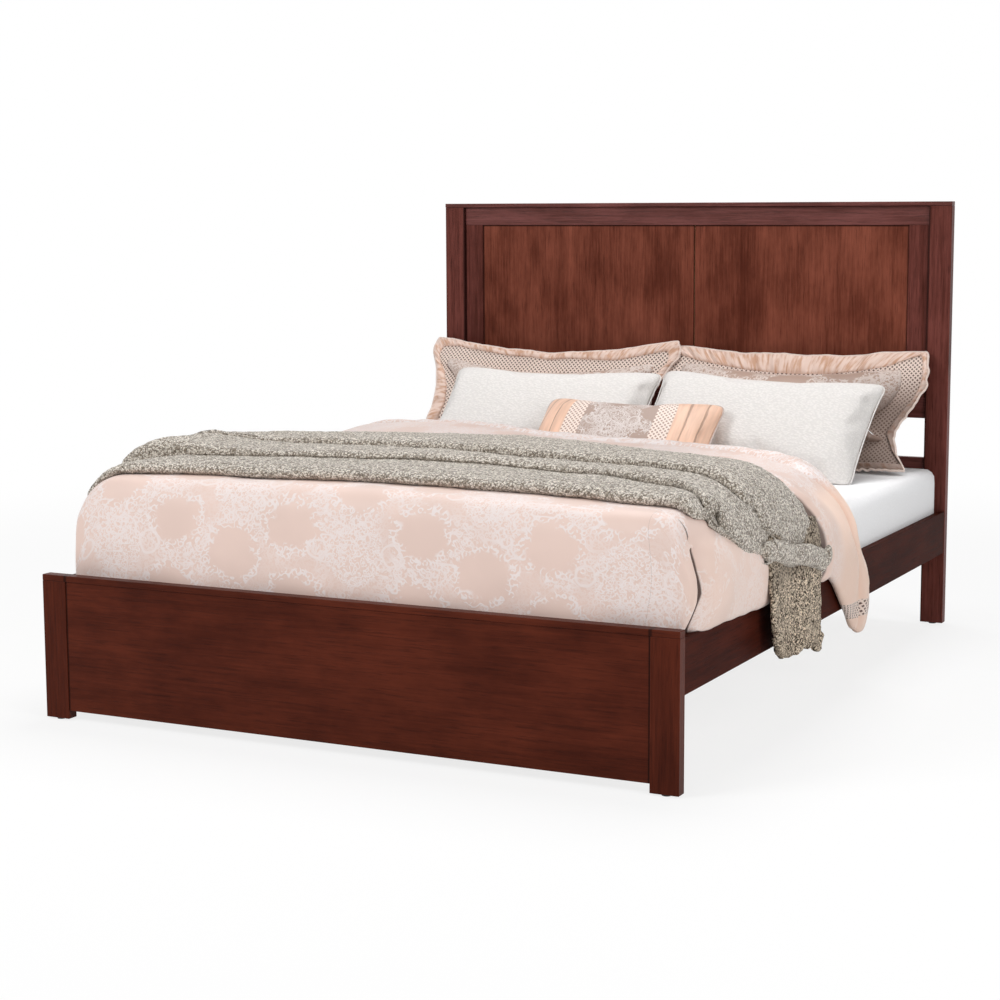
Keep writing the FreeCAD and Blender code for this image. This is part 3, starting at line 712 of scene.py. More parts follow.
SHAM_LEAN = 32.0
SHAM_DEPTH = 0.15
SHAM_BLUNT = 0.012
SHAM_FOOT_DIP = 0.015
SHAM_BORDER = 0.08
SHAM_CORD = 0.0045
PALE_PEACH = (0.78, 0.6, 0.52)
PEACH_IN_GATHER_SHADE = (0.58, 0.34, 0.23)
SHADE_BROWN = (0.13, 0.08, 0.06)


def behind_cushion(cloth, colour):
    """Darker low down at the bed's right, where the sham stands in the cushion's shade."""
    x, y, z = cloth.parts(cloth.place())
    return cloth.blend(x.rise(0.4, 0.55) * z.rise(0.77, 0.65) * 0.72, colour, SHADE_BROWN)


def openwork(name):
    """The border's inner band: a net of slanted threads."""
    net = Finish(name, Specular_IOR_Level=0.2, Sheen_Weight=0.2, Sheen_Roughness=0.4)
    u, v, w = net.parts(net.place("UV"))
    grain = net.noise(net.place("UV"), 300.0, 2.0)
    return net.show(Base_Color=behind_cushion(net, lattice(net, u, v)), Roughness=grain * 0.2 + 0.5)


def gathered_satin(name):
    """The border's outer band: peach satin, with painted shade down in its gathers."""
    satin = Finish(name, Specular_IOR_Level=0.3, Sheen_Weight=0.2, Sheen_Roughness=0.4)
    place = satin.place("UV")
    gathers = satin.noise(satin.stretched(place, (1.0, 0.16, 1.0)), 80.0, 3.0)
    colour = satin.blend(gathers.rise(0.34, 0.58), PEACH_IN_GATHER_SHADE, PALE_PEACH)
    return satin.show(
        Base_Color=behind_cushion(satin, colour),
        Roughness=gathers * 0.15 + 0.4,
        Normal=satin.bump(gathers, 0.003, 0.8),
    )


def cord_tree():
    """A round cord along a path."""
    tree = bpy.data.node_groups.new("cord", "GeometryNodeTree")
    face = tree.interface
    for name, kind in (("Path", "Geometry"), ("Radius", "Float"), ("Finish", "Material")):
        face.new_socket(name, in_out="INPUT", socket_type="NodeSocket" + kind)
    face.new_socket("Cord", in_out="OUTPUT", socket_type="NodeSocketGeometry")
    given = tree.nodes.new("NodeGroupInput")
    result = tree.nodes.new("NodeGroupOutput")
    kinds = ("MeshToCurve", "CurvePrimitiveCircle", "CurveToMesh", "RealizeInstances", "SetMaterial")
    path, ring, tube, whole, finish = (tree.nodes.new("GeometryNode" + kind) for kind in kinds)
    ring.inputs["Resolution"].default_value = 8
    for source, output, target, socket in (
        (given, "Path", path, "Mesh"),
        (given, "Radius", ring, "Radius"),
        (path, "Curve", tube, "Curve"),
        (ring, "Curve", tube, "Profile Curve"),
        (tube, "Mesh", whole, "Geometry"),
        (whole, "Geometry", finish, "Geometry"),
        (given, "Finish", finish, "Material"),
        (finish, "Geometry", result, "Cord"),
    ):
        tree.links.new(source.outputs[output], target.inputs[socket])
    return tree


def closed_path(name, points):
    """A ring of edges for a tree to follow."""
    count = len(points)
    mesh = bpy.data.meshes.new(name)
    mesh.from_pydata([tuple(p) for p in points], [(i, (i + 1) % count) for i in range(count)], [])
    return placed(name, mesh)


def wave(length, size, seed):
    """Smooth noise along a length, about -1 to 1."""
    return np.array([noise.noise(Vector((p / size, seed, 0.5))) for p in length])


def ramp(values, start, width):
    """0 at start, 1 some width further on, and straight between."""
    return np.clip((values - start) / width, 0, 1)


def read_off(place, *pairs):
    """A value read between (place, value) pairs."""
    places, values = zip(*pairs)
    return np.interp(place, places, values)


cord = cord_tree()
sham_satin = jacquard("sham_satin", (0.44, 0.31, 0.25), (0.74, 0.66, 0.62), 0.85, behind_cushion)
sham_net = openwork("sham_net")
sham_edge = gathered_satin("sham_edge")
sham_cord = cotton("sham_cord", (0.8, 0.66, 0.59))


def refined(ring, steps):
    """A closed line with more points between its own."""
    closed = np.concatenate([ring, ring[:1]])
    places = np.arange(len(ring) * steps) / steps
    return np.stack([np.interp(places, np.arange(len(closed)), values) for values in closed.T], 1)


def border(seam, rim, net_share, seed):
    """The border round a filled case, from its seam to its rim. The net takes a share of its width, and the
    satin beyond that is gathered."""
    seam = refined(seam, 3)
    rim = refined(rim, 3)
    net_share = refined(net_share[:, None], 3)[:, 0]
    length = np.concatenate([[0.0], np.cumsum(np.linalg.norm(np.diff(rim, axis=0), axis=1))])
    total = length[-1] + np.linalg.norm(rim[0] - rim[-1])
    ripple = wave(length, 0.13, seed) + 0.4 * wave(length, 0.05, seed + 3)
    gather = wave(length, 0.013, seed + 6) + 0.5 * wave(length, 0.03, seed + 9)

    def band(shares):
        """Points of the border at shares of its width."""
        rows = seam + (rim - seam) * shares[:, :, None]
        puckered = ramp(shares, net_share, 0.2)
        rows[:, :, 1] += np.maximum(0.0, shares) * 0.02 * ripple + puckered * 0.007 * gather
        return rows + unit(rim - seam) * (np.maximum(0.0, shares - 0.7) * 0.016 * gather)[:, :, None]

    def thick(name, shares, half, uv, material):
        middle = band(shares)
        lift = np.zeros_like(middle)
        lift[:, :, 1] = -half[:, None]
        return padded_mesh(name, middle + lift, middle - lift, uv, material, ring=True, rim_steps=1)

    net_shares = np.linspace(0 * net_share - 0.12, net_share + 0.04, 7)
    net_rows = band(net_shares)[:, :, [0, 2]]
    net_uv = np.concatenate([net_rows, net_rows[:, :1]], 1)
    net = thick("net", net_shares, np.full(len(net_shares), 0.0022), net_uv, sham_net)
    roll = np.linspace(0, 1, 10)
    satin_shares = np.linspace(net_share - 0.04, 0 * net_share + 1, len(roll))
    satin_uv = np.stack(np.meshgrid(np.append(length, total), roll * SHAM_BORDER), 2)
    satin_half = 0.003 + 0.008 * np.sqrt(4 * roll * (1 - roll))
    satin = thick("satin", satin_shares, satin_half, satin_uv, sham_edge)
    edge = grown(cord, closed_path("cord", band(satin_shares[-1:])[0]), Radius=SHAM_CORD, Finish=sham_cord)
    return [net, satin, edge]


ON_MATTRESS = MATTRESS_TOP + 0.0015


def laid(piece, points, node):
    """Lay a filled piece on the mattress, in its CAD node's place."""
    points[:, 2] = np.maximum(points[:, 2], ON_MATTRESS)
    put_points(piece, points)
    shade_smooth(piece.data)
    settle(piece, node)
    smoothed(piece)


def sham(name, height, dip, widen, sides, top_border, net_beside, net_on_top, seed):
    """A sham between its CAD ends, its rim dipping in the middle of the top and drawn in at its two sides,
    as (upward, depth) pairs. The net's share of the border on top is read from (across, share) pairs."""
    low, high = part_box(name)
    width = high.x - low.x + widen

    def outline(inset):
        def place(across, upward):
            pinch = np.where(across < 0, *(read_off(upward, *side) for side in sides))
            fall = np.where(upward > 0, dip, SHAM_FOOT_DIP) * (1 - across**2)
            blunt = SHAM_BLUNT * (across * upward) ** 6
            half_width = width / 2 - inset - pinch - blunt
            half_height = height / 2 - inset * np.where(upward > 0, top_border, 1.0) - fall - blunt
            return across * half_width, upward * half_height

        return place

    cover, seam, across, upward = sewn_cover(name, outline(SHAM_BORDER - 0.012), SHAM_DEPTH * 0.8, 53, 21)
    cover.data.materials.append(sham_satin)
    points = fill(cover, 0.03)
    points[:, 1] *= SHAM_DEPTH / np.ptp(points[:, 1])
    put_points(cover, points)
    rim_x, rim_z = outline(SHAM_CORD)(across, upward)
    net_share = np.where(upward == 1, read_off(across, *net_on_top), net_beside)
    bands = border(points[seam] * (1, 0, 1), np.stack([rim_x, 0 * rim_x, rim_z], 1), net_share, seed)
    piece = joined([cover, *bands], name + "_case")
    points = points_of(piece)
    settled = points[:, 2] / (height / 2)
    points[:, 1] *= 1 - 0.15 * settled
    angle = math.radians(SHAM_LEAN)
    middle = (
        (low.x + high.x + widen) / 2,
        high.y - height / 2 * math.sin(angle) - 0.012,
        MATTRESS_TOP + height / 2 * math.cos(angle),
    )
    points = leaned(points, SHAM_LEAN, middle)
    points[:, 1] = np.minimum(points[:, 1], high.y - 0.0005)
    laid(piece, points, name)


SIDE = ((-1, 0.029), (-0.6, 0.058), (-0.25, 0.066), (0.1, 0.058), (0.4, 0.038), (0.75, 0))
FLARED_SIDE = (
    (-1, 0.006), (-0.7, 0.05), (-0.4, 0.074), (-0.04, 0.045), (0.2, 0.018), (0.53, 0), (1, 0.004),
)
LEFT_NET = ((-1, 0.56), (-0.8, 0.74), (0.2, 0.74), (0.6, 0.5), (1, 0.56))
RIGHT_NET = ((-1, 0.5), (-0.8, 0.2), (0.6, 0.12), (0.84, 0.2), (0.94, 0.6), (1, 0.82))
sham(
    "sham_left", height=0.43, dip=0.064, widen=0.02, sides=(SIDE, SIDE), top_border=1.0,
    net_beside=0.56, net_on_top=LEFT_NET, seed=1.3,
)
sham(
    "sham_right", height=0.412, dip=0.034, widen=0.0, sides=(SIDE, FLARED_SIDE), top_border=0.7,
    net_beside=0.82, net_on_top=RIGHT_NET, seed=4.6,
)

# Plain cushions: two cream cushions in a thick nubbed cotton, sewn on all four sides and tightly filled,
# leaning on the shams.


def nubbed_cotton(name, colour):
    """Thick cotton with woven nubs in broken rows."""
    cloth = Finish(name, Specular_IOR_Level=0.15, Sheen_Weight=0.2, Sheen_Roughness=0.6)
    spot = cloth.place()
    nubs = cloth.cells(cloth.stretched(spot, (0.6, 1.0, 1.0)), 190.0, flat=False).rise(0.75, 0.1)
    clumps = cloth.noise(spot, 60.0, 3.0)
    shade = (nubs * 0.7 + clumps * 0.6).rise(0.25, 0.95)
    return cloth.show(
        Base_Color=cloth.blend(shade, toned(colour, 0.9), colour),
        Roughness=0.95 - nubs * 0.12,
        Normal=cloth.bump(nubs * 0.8 + clumps * 0.5, 0.0016, 0.6),
    )


PLAIN_SIZE = (0.68, 0.385, 0.165)
PLAIN_LEAN = 46.0
SIDE_DRAW_IN = 0.045
PIPING = 0.0022
CORNER_BLUNT = 0.018


def cushion(name, size, lean, tilt, material, reach):
    """A filled cushion at its CAD solid's place, tilted by some degrees, its sides drawn in between the
    corners and piped."""
    low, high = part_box(name)
    width, height, depth = size

    def outline(across, upward):
        half_width = width / 2 * (1 - SIDE_DRAW_IN * height / width * (1 - upward**2))
        half_height = height / 2 * (1 - SIDE_DRAW_IN * (1 - across**2))
        blunt = CORNER_BLUNT * (across * upward) ** 6
        return across * (half_width - blunt), upward * (half_height - blunt)

    cover, seam, across, upward = sewn_cover(name + "_filled", outline, depth * 0.8, 53, 29)
    cover.data.materials.append(material)
    points = fill(cover, reach)
    points *= np.array([width, depth, height]) / np.ptp(points, axis=0)
    put_points(cover, points)
    piping = grown(cord, closed_path("piping", points[seam]), Radius=PIPING, Finish=material)
    piece = joined([cover, piping], name + "_filled")
    x, y, z = points_of(piece).T
    cosine, sine = math.cos(math.radians(tilt)), math.sin(math.radians(tilt))
    points = np.stack([x * cosine - z * sine, y, x * sine + z * cosine], 1)
    points = leaned(points, lean, [(a + b) / 2 for a, b in zip(low, high)])
    laid(piece, points, name)


plain_cream = nubbed_cotton("plain_cream", (0.75, 0.722, 0.7))
for side, tilt in (("left", 0.0), ("right", -2.5)):
    cushion("plain_cushion_" + side, PLAIN_SIZE, PLAIN_LEAN, tilt, plain_cream, 0.03)

# Oblong cushion: a small cushion in front, its middle in the figured satin, a strip of openwork lattice
# on each side of that, and pleated ends of peach satin.

OBLONG_SIZE = (0.545, 0.31, 0.14)
OBLONG_LEAN = 50.0
OBLONG_MIDDLE = 0.1
OBLONG_STRIP = 0.052
OBLONG_GROUND = (0.38, 0.28, 0.235)
OBLONG_LACE = (0.7, 0.64, 0.62)
PLEAT_LINES = (0.192, 0.236)


def pieced_satin(name, peach):
    """Three cloths in one cover, by distance from the cushion's middle."""
    cloth = Finish(name, Specular_IOR_Level=0.3, Sheen_Weight=0.2, Sheen_Roughness=0.4)
    place = cloth.place("UV")
    u, v, w = cloth.parts(place)
    away = abs(u)
    strip = away.rise(OBLONG_MIDDLE - 0.001, OBLONG_MIDDLE)
    ends = away.rise(OBLONG_MIDDLE + OBLONG_STRIP - 0.001, OBLONG_MIDDLE + OBLONG_STRIP)
    pleats = cloth.noise(cloth.stretched(place, (1.0, 0.12, 1.0)), 70.0, 2.0)
    # Painted shade: the satin is darker down in its pleats and along the two pleat folds.
    satin = cloth.blend(pleats.rise(0.35, 0.65), toned(peach, 0.84), peach)
    slack = pleats * 0.012
    fold = 0.0
    for line in PLEAT_LINES:
        fold = abs(away + slack - line).rise(0.004, 0.001).high_of(fold)
    satin = cloth.blend(fold * 0.7, satin, toned(peach, 0.4))
    woven = damask(cloth, u * 1.6 + 0.02, v * 1.6 - 0.02)
    middle = cloth.blend(woven * 0.9, OBLONG_GROUND, OBLONG_LACE)
    threads = lattice(cloth, u, v, thread=(0.8, 0.68, 0.61), hole=(0.34, 0.22, 0.18))
    colour = cloth.blend(ends, cloth.blend(strip, middle, threads), satin)
    return cloth.show(
        Base_Color=colour,
        Roughness=pleats * 0.15 + 0.4,
        Normal=cloth.bump((pleats * 3.0 - fold * 2.0) * ends + woven * 0.4 * (1.0 - ends), 0.0012, 0.7),
    )


oblong_satin = pieced_satin("oblong_satin", (0.8, 0.52, 0.385))
cushion("oblong_cushion", OBLONG_SIZE, OBLONG_LEAN, 0.0, oblong_satin, 0.025)

# Comforter: a thick quilt in blush jacquard. Its foot end is tucked behind the footboard and folded at the
# corners, its sides lie on the rails, and its head corners hang over them.

BED_FOOT = -0.955
RAIL_TOP = 0.337
HEM_ON_RAIL = 0.347
LOFT_TOP = 0.584
CROWN = 0.012
HEM_HEIGHT = (
    (-1.0, HEM_ON_RAIL), (-0.24, HEM_ON_RAIL), (-0.12, 0.337), (-0.043, 0.29), (0.043, 0.215),
    (0.085, 0.168), (0.125, 0.152), (0.5, 0.15),
)
FRONT_ROWS = 17
FRONT_BULGE = 0.0675
FRONT_HEM = 0.325
LINING_EDGE = 0.68
LINING_SIDE = 0.765
LINING_SHOULDER = 0.429
LINING_RADIUS = 0.0365
LINING_BESIDE_RAIL = 0.8265
LINING_FOOT = -0.944
LINING_FRONT = -0.9805


def hump(values, middle, width):
    """A smooth bump, 1 high in its middle."""
    return np.exp(-(((values - middle) / width) ** 2))


def quilt_sides(length, y):
    """The quilt's half width and the radius of its shoulder at y, on the side that a length falls on."""
    left = read_off(
        y, (-1.0, 0.74), (-0.955, 0.765), (-0.92, 0.795), (-0.88, 0.825), (-0.82, 0.842), (0.6, 0.845)
    )
    right = read_off(y, (-1.0, 0.8), (-0.955, 0.802), (-0.85, 0.835), (-0.7, 0.845), (0.6, 0.85))
    left_radius = read_off(y, (-0.96, 0.1), (-0.88, 0.15), (-0.75, 0.17), (0.6, 0.17))
    right_radius = read_off(y, (-0.96, 0.055), (-0.85, 0.1), (-0.72, 0.16), (0.6, 0.17))
    on_left = length < 0
    return np.where(on_left, left, right), np.where(on_left, left_radius, right_radius)


def puff(length, y):
    """How far the quilt's filling lifts its skin here: broad lumps and small creases."""
    spots = np.stack(np.broadcast_arrays(length, y, 0.0), -1)
    return 0.006 * crumple(spots, 0.3, 1) + 0.0022 * crumple(spots * (1.0, 1.6, 1.0), 0.085, 2)


def over_bed(length, y, lift=0.0):
    """Where a point of cloth lies, some length from the bed's middle line across the quilt at y, and some
    way above the quilt's skin."""
    width, radius = quilt_sides(length, y)
    lift = lift + puff(length, y)
    width = width + lift
    radius = radius + lift
    flat = width - radius
    far = np.abs(length)
    turn = np.clip((far - flat) / radius, 0, math.pi / 2)
    drop = np.maximum(0.0, far - flat - radius * math.pi / 2)
    x = np.minimum(far, flat) + radius * np.sin(turn)
    crown = CROWN * (1 - np.minimum(1.0, far / 0.85) ** 2)
    z = LOFT_TOP + lift + crown - radius * (1 - np.cos(turn)) - drop
    return np.copysign(x, length), z


def hem_length(side, y):
    """How far down the cloth the hem is, on the side of a sign."""
    width, radius = quilt_sides(side, y)
    drop = np.maximum(0.0, LOFT_TOP - radius - read_off(y, *HEM_HEIGHT))
    return width - radius + radius * math.pi / 2 + drop


corner_width, corner_radius = quilt_sides(1, BED_FOOT)
corner_share = float((corner_width + corner_radius * (math.pi / 2 - 1)) / hem_length(1, BED_FOOT))
shares = np.concatenate(
    [
        np.linspace(-1, -corner_share, 13)[:-1],
        np.linspace(-corner_share, corner_share, 101),
        np.linspace(corner_share, 1, 13)[1:],
    ]
)
head_y = np.interp(
    shares,
    [-1.0, -0.8, -0.65, -0.4, -0.2, 0.0, 0.25, 0.4, 0.53, 0.65, 0.73, 0.78, 0.83, 0.9, 1.0],
    [0.46, 0.40, 0.40, 0.38, 0.29, 0.265, 0.26, 0.215, 0.125, 0.035, 0.005, 0.045, 0.12, 0.165, 0.18],
)
head_y = np.convolve(np.pad(head_y, 3, "edge"), np.ones(7) / 7, "valid")
near_foot = np.linspace(0, 0.035, 8)
near_head = np.linspace(0.91, 1, 16)
along_share = np.concatenate([near_foot, np.linspace(0.035, 0.91, 57)[1:-1], near_head])[:, None]
body_y = BED_FOOT + along_share * (head_y - BED_FOOT)[None, :]
on_side = np.abs(shares) > corner_share
fall = ramp(np.abs(shares), corner_share, 1 - corner_share)
foot_ease = np.clip(1 - along_share / 0.12, 0, 1) ** 2
body_y = body_y - foot_ease * np.where(shares > 0, 0.032 * fall**0.3, 0.02 * fall**0.6) * on_side
body_length = shares * hem_length(np.sign(shares), body_y)
body_x, body_z = over_bed(body_length, body_y)
swelling = 0.012 * np.sin(math.pi * fall) * (1 - foot_ease)
at_corner = hump(body_y, -0.97, 0.12) * (shares > corner_share)
swelling = swelling + 0.052 * at_corner * np.sin(math.pi * (0.03 + 0.8 * fall)) ** 0.7
into_seam = np.clip(1 - along_share / 0.04, 0, 1) * (shares > corner_share)
swelling = swelling - 0.06 * (1 - np.sqrt(1 - into_seam**2))
body_x = body_x + np.sign(shares) * swelling
heap = hump(shares, -0.35, 0.3) * hump(head_y - body_y, 0.12, 0.15)
body_z = body_z + 0.028 * heap

down = np.linspace(0, 1, FRONT_ROWS + 1)[1:][::-1]
front_places = (0, 0.06, 0.13, 0.22, 0.36, 0.6, 1.0)
front_drop = np.interp(down, front_places, [0, 0.02, 0.075, 0.17, 0.35, 0.62, 1.0])[:, None]
front_out = np.interp(down, front_places, [0, 0.3, 0.56, 0.76, 0.88, 0.96, 1.0])[:, None]
BUNCH_LINE = ((0.6, -0.22), (0.7, -0.27), (0.8, -0.288), (0.86, -0.272), (0.95, -0.243), (1.05, -0.19))
BOW_PLACES = (0, 0.05, 0.12, 0.26, 0.41, 0.54, 0.66, 0.78, 0.89, 1)
front_z = FRONT_HEM + (body_z[:1] - FRONT_HEM) * (1 - front_drop)
front_y = body_y[:1] - FRONT_BULGE * front_out
right_end = ramp(shares, 0.45 * corner_share, 0.55 * corner_share) ** 2
left_end = ramp(-shares, 0.45 * corner_share, 0.55 * corner_share) ** 2
bow = np.interp(front_drop, BOW_PLACES, [0, -0.004, 0.002, 0.013, 0.0235, 0.027, 0.026, 0.0175, 0.009, 0])
front_x = body_x[:1] + right_end * bow - left_end * 0.014 * front_out
front_y = front_y + (right_end * 0.008 + left_end * 0.03) * front_out
front_z = front_z + right_end * 0.026 * front_drop

outer = np.concatenate([np.stack([front_x, front_y, front_z], 2), np.stack([body_x, body_y, body_z], 2)])
present = np.ones(outer.shape[:2], bool)
present[:FRONT_ROWS, on_side] = False
outer[:FRONT_ROWS, on_side] = outer[FRONT_ROWS, on_side][None]
cloth_u = np.concatenate([np.repeat(body_length[:1], FRONT_ROWS, 0), body_length])
steps = np.linalg.norm(np.diff(outer, axis=0), axis=2)
cloth_v = np.concatenate([np.zeros((1, outer.shape[1])), np.cumsum(steps, 0)])
cloth_v = cloth_v - cloth_v[FRONT_ROWS][None] + BED_FOOT
uv = np.stack([cloth_u, cloth_v], 2)

cloth_spots = np.stack(np.broadcast_arrays(cloth_u, cloth_v, 0.0), 2)
face_creases = crumple(cloth_spots * (1.0, 1.4, 1.0), 0.11, 4)
side_folds = crumple(cloth_spots * (2.0, 9.0, 1.0), 0.5, 3)
edge_wrinkles = crumple(cloth_spots * (3.0, 1.0, 1.0), 0.09, 6)
on_front = np.zeros(cloth_u.shape)
on_front[:FRONT_ROWS] = down[:, None]
hanging = ramp(np.abs(cloth_u), 0.9, 0.15)
from_head = np.concatenate([np.ones((FRONT_ROWS, len(shares))), (head_y - body_y)])
edge_roll = hump(from_head, 0.03, 0.022)
hem_line = hump(from_head, 0.068, 0.008)
relief = on_front * 0.006 * face_creases + hanging * 0.008 * side_folds
relief = relief + edge_roll * (0.007 + 0.006 * edge_wrinkles) - 0.017 * hem_line
behind_throw = outer[:, :, 1] - read_off(cloth_u, *BUNCH_LINE)
bunched = ramp(cloth_u, 0.68, 0.14) * hump(behind_throw, 0.04, 0.026)
relief = relief + 0.02 * bunched * (1 + 0.5 * edge_wrinkles)
outer = outer + grid_normals(outer) * relief[:, :, None]

over_edge = np.abs(cloth_u) > LINING_EDGE
inner_turn = np.clip((np.abs(cloth_u) - LINING_EDGE) / 0.17, 0, math.pi / 2)
inner_x = np.where(over_edge, LINING_SIDE + LINING_RADIUS * np.sin(inner_turn), np.abs(outer[:, :, 0]))
inner_x = np.minimum(inner_x, np.abs(outer[:, :, 0]) - 0.012 * over_edge)
inner_z = np.where(over_edge, LINING_SHOULDER + LINING_RADIUS * np.cos(inner_turn), MATTRESS_TOP + 0.002)
side_drop = ramp(np.abs(cloth_u), 0.947, 0.05)
inner_z = np.minimum(inner_z, outer[:, :, 2] - 0.004 * (1 - side_drop))
below_rail = (side_drop > 0) & (outer[:, :, 2] < RAIL_TOP + 0.003)
inner_x = np.where(below_rail, LINING_BESIDE_RAIL, inner_x)
inner_y = np.maximum(outer[:, :, 1], LINING_FOOT)
inner = np.stack([np.copysign(inner_x, outer[:, :, 0]), inner_y, inner_z], 2)
inner[:FRONT_ROWS, :, 1] = LINING_FRONT
inner[:FRONT_ROWS, :, 2] = np.minimum(inner[:FRONT_ROWS, :, 2], outer[:FRONT_ROWS, :, 2] - 0.002)
near_edge = ramp(np.abs(shares) / corner_share, 0.93, 0.07)[None, :, None]
beside_edge = outer - np.sign(shares)[None, :, None] * (0.012, 0.0, 0.0) + (0.0, 0.03, -0.002)
inner[:FRONT_ROWS] += near_edge * (beside_edge - inner)[:FRONT_ROWS]

BLUSH = (0.785, 0.6, 0.53)
IVORY = (0.85, 0.8, 0.8)
HEM_PEACH = (0.79, 0.59, 0.49)
CREASE_SHADE_BROWN = (0.06, 0.03, 0.022)


def quilt_edges(cloth, colour):
    """Lace along the quilt's head edge, shade among the pillows and in the creases, and a band of openwork
    lattice and a peach edge on the corners that hang lowest."""
    place = cloth.place("UV")
    u, v, w = cloth.parts(place)
    x, y, z = cloth.parts(cloth.place())
    from_head = cloth.mark("from_head")
    edge_lace = from_head.rise(0.09, 0.07) * curled(cloth, place, 55.0)
    colour = cloth.blend(edge_lace * z.rise(0.53, 0.56) * 0.8, colour, IVORY)
    among_pillows = from_head.rise(0.75, 0.65) * x.rise(0.6, 0.3)
    colour = cloth.blend(among_pillows * 0.24, colour, toned(BLUSH, 0.15))
    colour = cloth.blend(x.rise(0.79, 0.85) * 0.35, colour, HEM_PEACH)
    turned_out = from_head.rise(0.28, 0.2) * z.rise(0.56, 0.5) * x.rise(0.0, 0.1)
    # Painted light: the hanging corner's peach is lighter higher up and darker lower down.
    hem_lit_higher = cloth.blend(z.rise(0.34, 0.45), HEM_PEACH, toned(HEM_PEACH, 1.2))
    colour = cloth.blend(turned_out, colour, hem_lit_higher)
    colour = cloth.blend(z.rise(0.233, 0.231), colour, lattice(cloth, u, v))
    colour = cloth.blend(z.rise(0.189, 0.187), colour, HEM_PEACH)
    # Painted shade in the tuck at the right foot seam, and along the throw's right edge where the quilt
    # bunches.
    tuck_shade = cloth.mark("tuck").rise(0.35, 0.55) * 0.95
    painted_crease_shade = tuck_shade.high_of(abs(cloth.mark("behind_throw")).rise(0.02, 0.008) * 0.85)
    return cloth.blend(painted_crease_shade, colour, CREASE_SHADE_BROWN)


comforter_satin = jacquard("comforter_satin", BLUSH, IVORY, 0.68, quilt_edges)
# Marks for the painted shade: rows of the tuck at the right foot seam, and the distance behind the throw's
# right edge.
tuck = np.zeros_like(cloth_u)
tuck[FRONT_ROWS] = read_off(shares - corner_share, (-0.06, 0.0), (-0.05, 0.46), (0.0, 0.62), (0.001, 1.0))
tuck[FRONT_ROWS + 1] = shares > corner_share
seam_shade = read_off(fall, (0.08, 0.5), (0.33, 0.3), (0.58, 0.6), (0.83, 0.1))
tuck[FRONT_ROWS + 2] = tuck[FRONT_ROWS + 1] * seam_shade
marks = {"from_head": from_head, "tuck": tuck, "behind_throw": np.where(cloth_u > 0.73, behind_throw, 1.0)}
comforter = padded_mesh("comforter_quilt", outer, inner, uv, comforter_satin, present, marks=marks)
smoothed(comforter)
settle(comforter, "comforter")

# Throw: a thick looped-wool knit laid over the quilt in three long folds. Its right end hangs beside the
# rail in two layers, the upper one turned up in a soft cuff.


def looped_wool(name, deep, light, sheen, shaded=None):
    """Bouclé yarn: tight loops of two tones, with painted shade down between them. A fold's painted shade
    makes it darker above one height."""
    wool = Finish(name, Specular_IOR_Level=0.1, Sheen_Weight=sheen, Sheen_Roughness=0.6)
    spot = wool.place()
    loops = wool.cells(spot, 270.0, flat=False)
    fleck = wool.parts(wool.cells(spot, 270.0, flat=False, output="Color"))[0]
    tufts = wool.noise(spot, 170.0, 3.0)
    pale = (fleck * 0.85 + tufts * 0.5).rise(0.3, 1.05)
    colour = wool.blend(pale, deep, light)
    painted_shade = loops.rise(0.35, 0.75) * (1.0 - pale * 0.4)
    if shaded:
        painted_shade = painted_shade.high_of(wool.parts(spot)[2].rise(shaded - 0.03, shaded) * 0.6)
    return wool.show(
        Base_Color=wool.blend(painted_shade * 0.8, colour, toned(deep, 0.3)),
        Roughness=0.97 - pale * 0.08,
        Normal=wool.bump((1.0 - loops) * 0.8 + tufts * 0.7, 0.004, 0.9),
    )


def eased(values, width):
    """A row of values with its corners rounded off."""
    kernel = np.hanning(2 * width + 3)[1:-1]
    return np.convolve(np.pad(values, width, "edge"), kernel / kernel.sum(), "valid")


def flowing(points, counts):
    """A smooth line through points, read some number of times between each two. A point may be a row."""
    points = np.array(points, float)
    run_on = np.concatenate([2 * points[:1] - points[1:2], points, 2 * points[-1:] - points[-2:-1]])
    at = np.concatenate([k + np.arange(n) / n for k, n in enumerate(counts)] + [[len(counts)]])
    first = np.minimum(at.astype(int), len(points) - 2)
    t = (at - first)[:, None]
    a, b, c, d = (run_on[first + k] for k in range(4))
    return b + t / 2 * (c - a + t * (2 * a - 5 * b + 4 * c - d + t * (3 * (b - c) + d - a)))


def looped_up(top, seed):
    """A knit's outer face, its loops raised."""
    nubs = crumple(top, 0.011, seed) + 0.6 * crumple(top, 0.03, seed + 1)
    return top + grid_normals(top) * (0.0024 * nubs)[:, :, None]


KNIT = 0.012
throw_wool = looped_wool("throw_wool", (0.285, 0.23, 0.172), (0.93, 0.857, 0.765), 0.3)
# The hanging end shows the knit's reverse, much darker and browner than its face: partly the reverse's own
# colour, and partly painted shade, as it hangs beside the rail under the cuff.
reverse_wool_in_shade = looped_wool("throw_wool_reverse_shaded", (0.07, 0.045, 0.026), (0.97, 0.81, 0.63), 0.06, shaded=0.385)
CUFF_RUN = (0.97, 0.9735, 0.975, 0.9745, 0.971, 0.965, 0.958, 0.951)
CUFF_RISE = (0.0005, 0.0025, 0.005, 0.0075, 0.0095, 0.0105, 0.0105, 0.009)
FRONT_EDGE = (
    (-1.03, -0.8), (-0.93, -0.88), (-0.86, -0.92), (-0.8, -0.915), (-0.7, -0.885), (0.0, -0.868),
    (0.42, -0.86), (0.6, -0.876), (0.71, -0.88), (0.78, -0.9), (0.825, -0.918), (0.85, -0.89),
    (0.872, -0.845), (0.898, -0.785), (0.924, -0.74), (0.95, -0.68), (0.972, -0.62),
)
